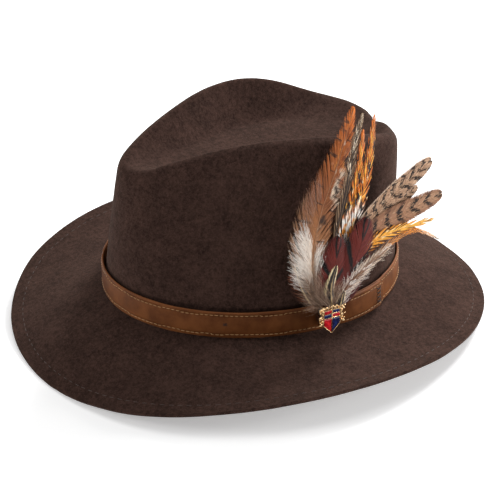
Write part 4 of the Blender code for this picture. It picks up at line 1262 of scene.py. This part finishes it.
felt = build_felt()
build_fuzz(felt)
band = build_band()
band_surface = surface_of(band)
tan = thread_material("tan_stitch_thread", (0.3, 0.145, 0.05), (0.58, 0.335, 0.15))
for seed, row in ((2, "upper"), (3, "lower")):
    stitch_row("band_stitches_" + row, "band_thread_" + row, band_surface, tan, "tan_thread", False,
               3.35, 2.35, 0.24, seed)
build_end_stitches(band_surface)
stitch_row("brim_edge_stitches", "brim_thread", surface_of(felt),
           thread_material("brown_brim_thread", (0.034, 0.022, 0.018), (0.08, 0.056, 0.046)), "felt_thread",
           True, 6.4, 3.6, 0.23, 4, rise=0.3)
build_inside()
build_bow()
build_pin()
build_badge()
build_spray()


# ---- studio

def add_light(name, place, size, power):
    data = bpy.data.lights.new(name, "AREA")
    data.shape = "RECTANGLE"
    data.size = data.size_y = size
    data.energy = power
    light = bpy.data.objects.new(name, data)
    light.location = place
    light.rotation_mode = "QUATERNION"
    light.rotation_quaternion = (Vector((0, 0, 0.08)) - Vector(place)).to_track_quat("-Z", "Y")
    bpy.context.scene.collection.objects.link(light)


def build_studio():
    scene = bpy.context.scene
    g = Graph("studio_floor")
    haze = g.noise(2.0, 2.0, 0.5)
    white = g.finish(Base_Color=g.blend(haze, (0.9, 0.9, 0.9), (0.93, 0.93, 0.93)), Roughness=0.9,
                     Emission_Color=(1.0, 1.0, 1.0), Emission_Strength=0.38)
    mesh = bpy.data.meshes.new("studio_floor")
    mesh.from_pydata([(-6, -6, 0), (6, -6, 0), (6, 6, 0), (-6, 6, 0)], [], [(0, 1, 2, 3)])
    mesh.materials.append(white)
    floor = bpy.data.objects.new("studio_floor", mesh)
    floor.location.z = -0.0002
    scene.collection.objects.link(floor)
    world = bpy.data.worlds.new("studio")
    world.use_nodes = True
    sky = world.node_tree.nodes["Background"].inputs
    sky["Color"].default_value = (1, 1, 1, 1)
    sky["Strength"].default_value = 0.22
    scene.world = world
    add_light("overhead_softbox", (0.0, 0.2, 1.9), 1.2, 9.5)
    add_light("back_softbox", (-0.65, 1.4, 1.25), 0.7, 43)
    add_light("low_side_softbox", (0.9, 1.5, 0.45), 0.6, 20)
    add_light("front_softbox", (-0.5, -1.6, 0.8), 0.8, 10)
    scene.view_settings.view_transform = "Standard"


LENS, CAMERA_DISTANCE = 262.40964, 2.5


def build_camera():
    """The three-quarter view: the hat's left front, from a little above."""
    azimuth, elevation, roll = radians(61.04), radians(29.15), radians(-1.12)
    back = Vector((sin(azimuth) * cos(elevation), -cos(azimuth) * cos(elevation), sin(elevation)))
    right = (-back).cross(Vector((0, 0, 1))).normalized()
    up = right.cross(-back)
    right, up = right * cos(roll) + up * sin(roll), up * cos(roll) - right * sin(roll)
    data = bpy.data.cameras.new("camera")
    data.sensor_width = 36.0
    data.lens = LENS
    camera = bpy.data.objects.new("camera", data)
    aim = Vector((0, 0, 0.06)) + right * 0.0004 - up * 0.0087
    camera.matrix_world = Matrix((right, up, back)).transposed().to_4x4()
    camera.location = aim + back * CAMERA_DISTANCE
    bpy.context.scene.collection.objects.link(camera)
    bpy.context.scene.camera = camera


build_studio()
build_camera()
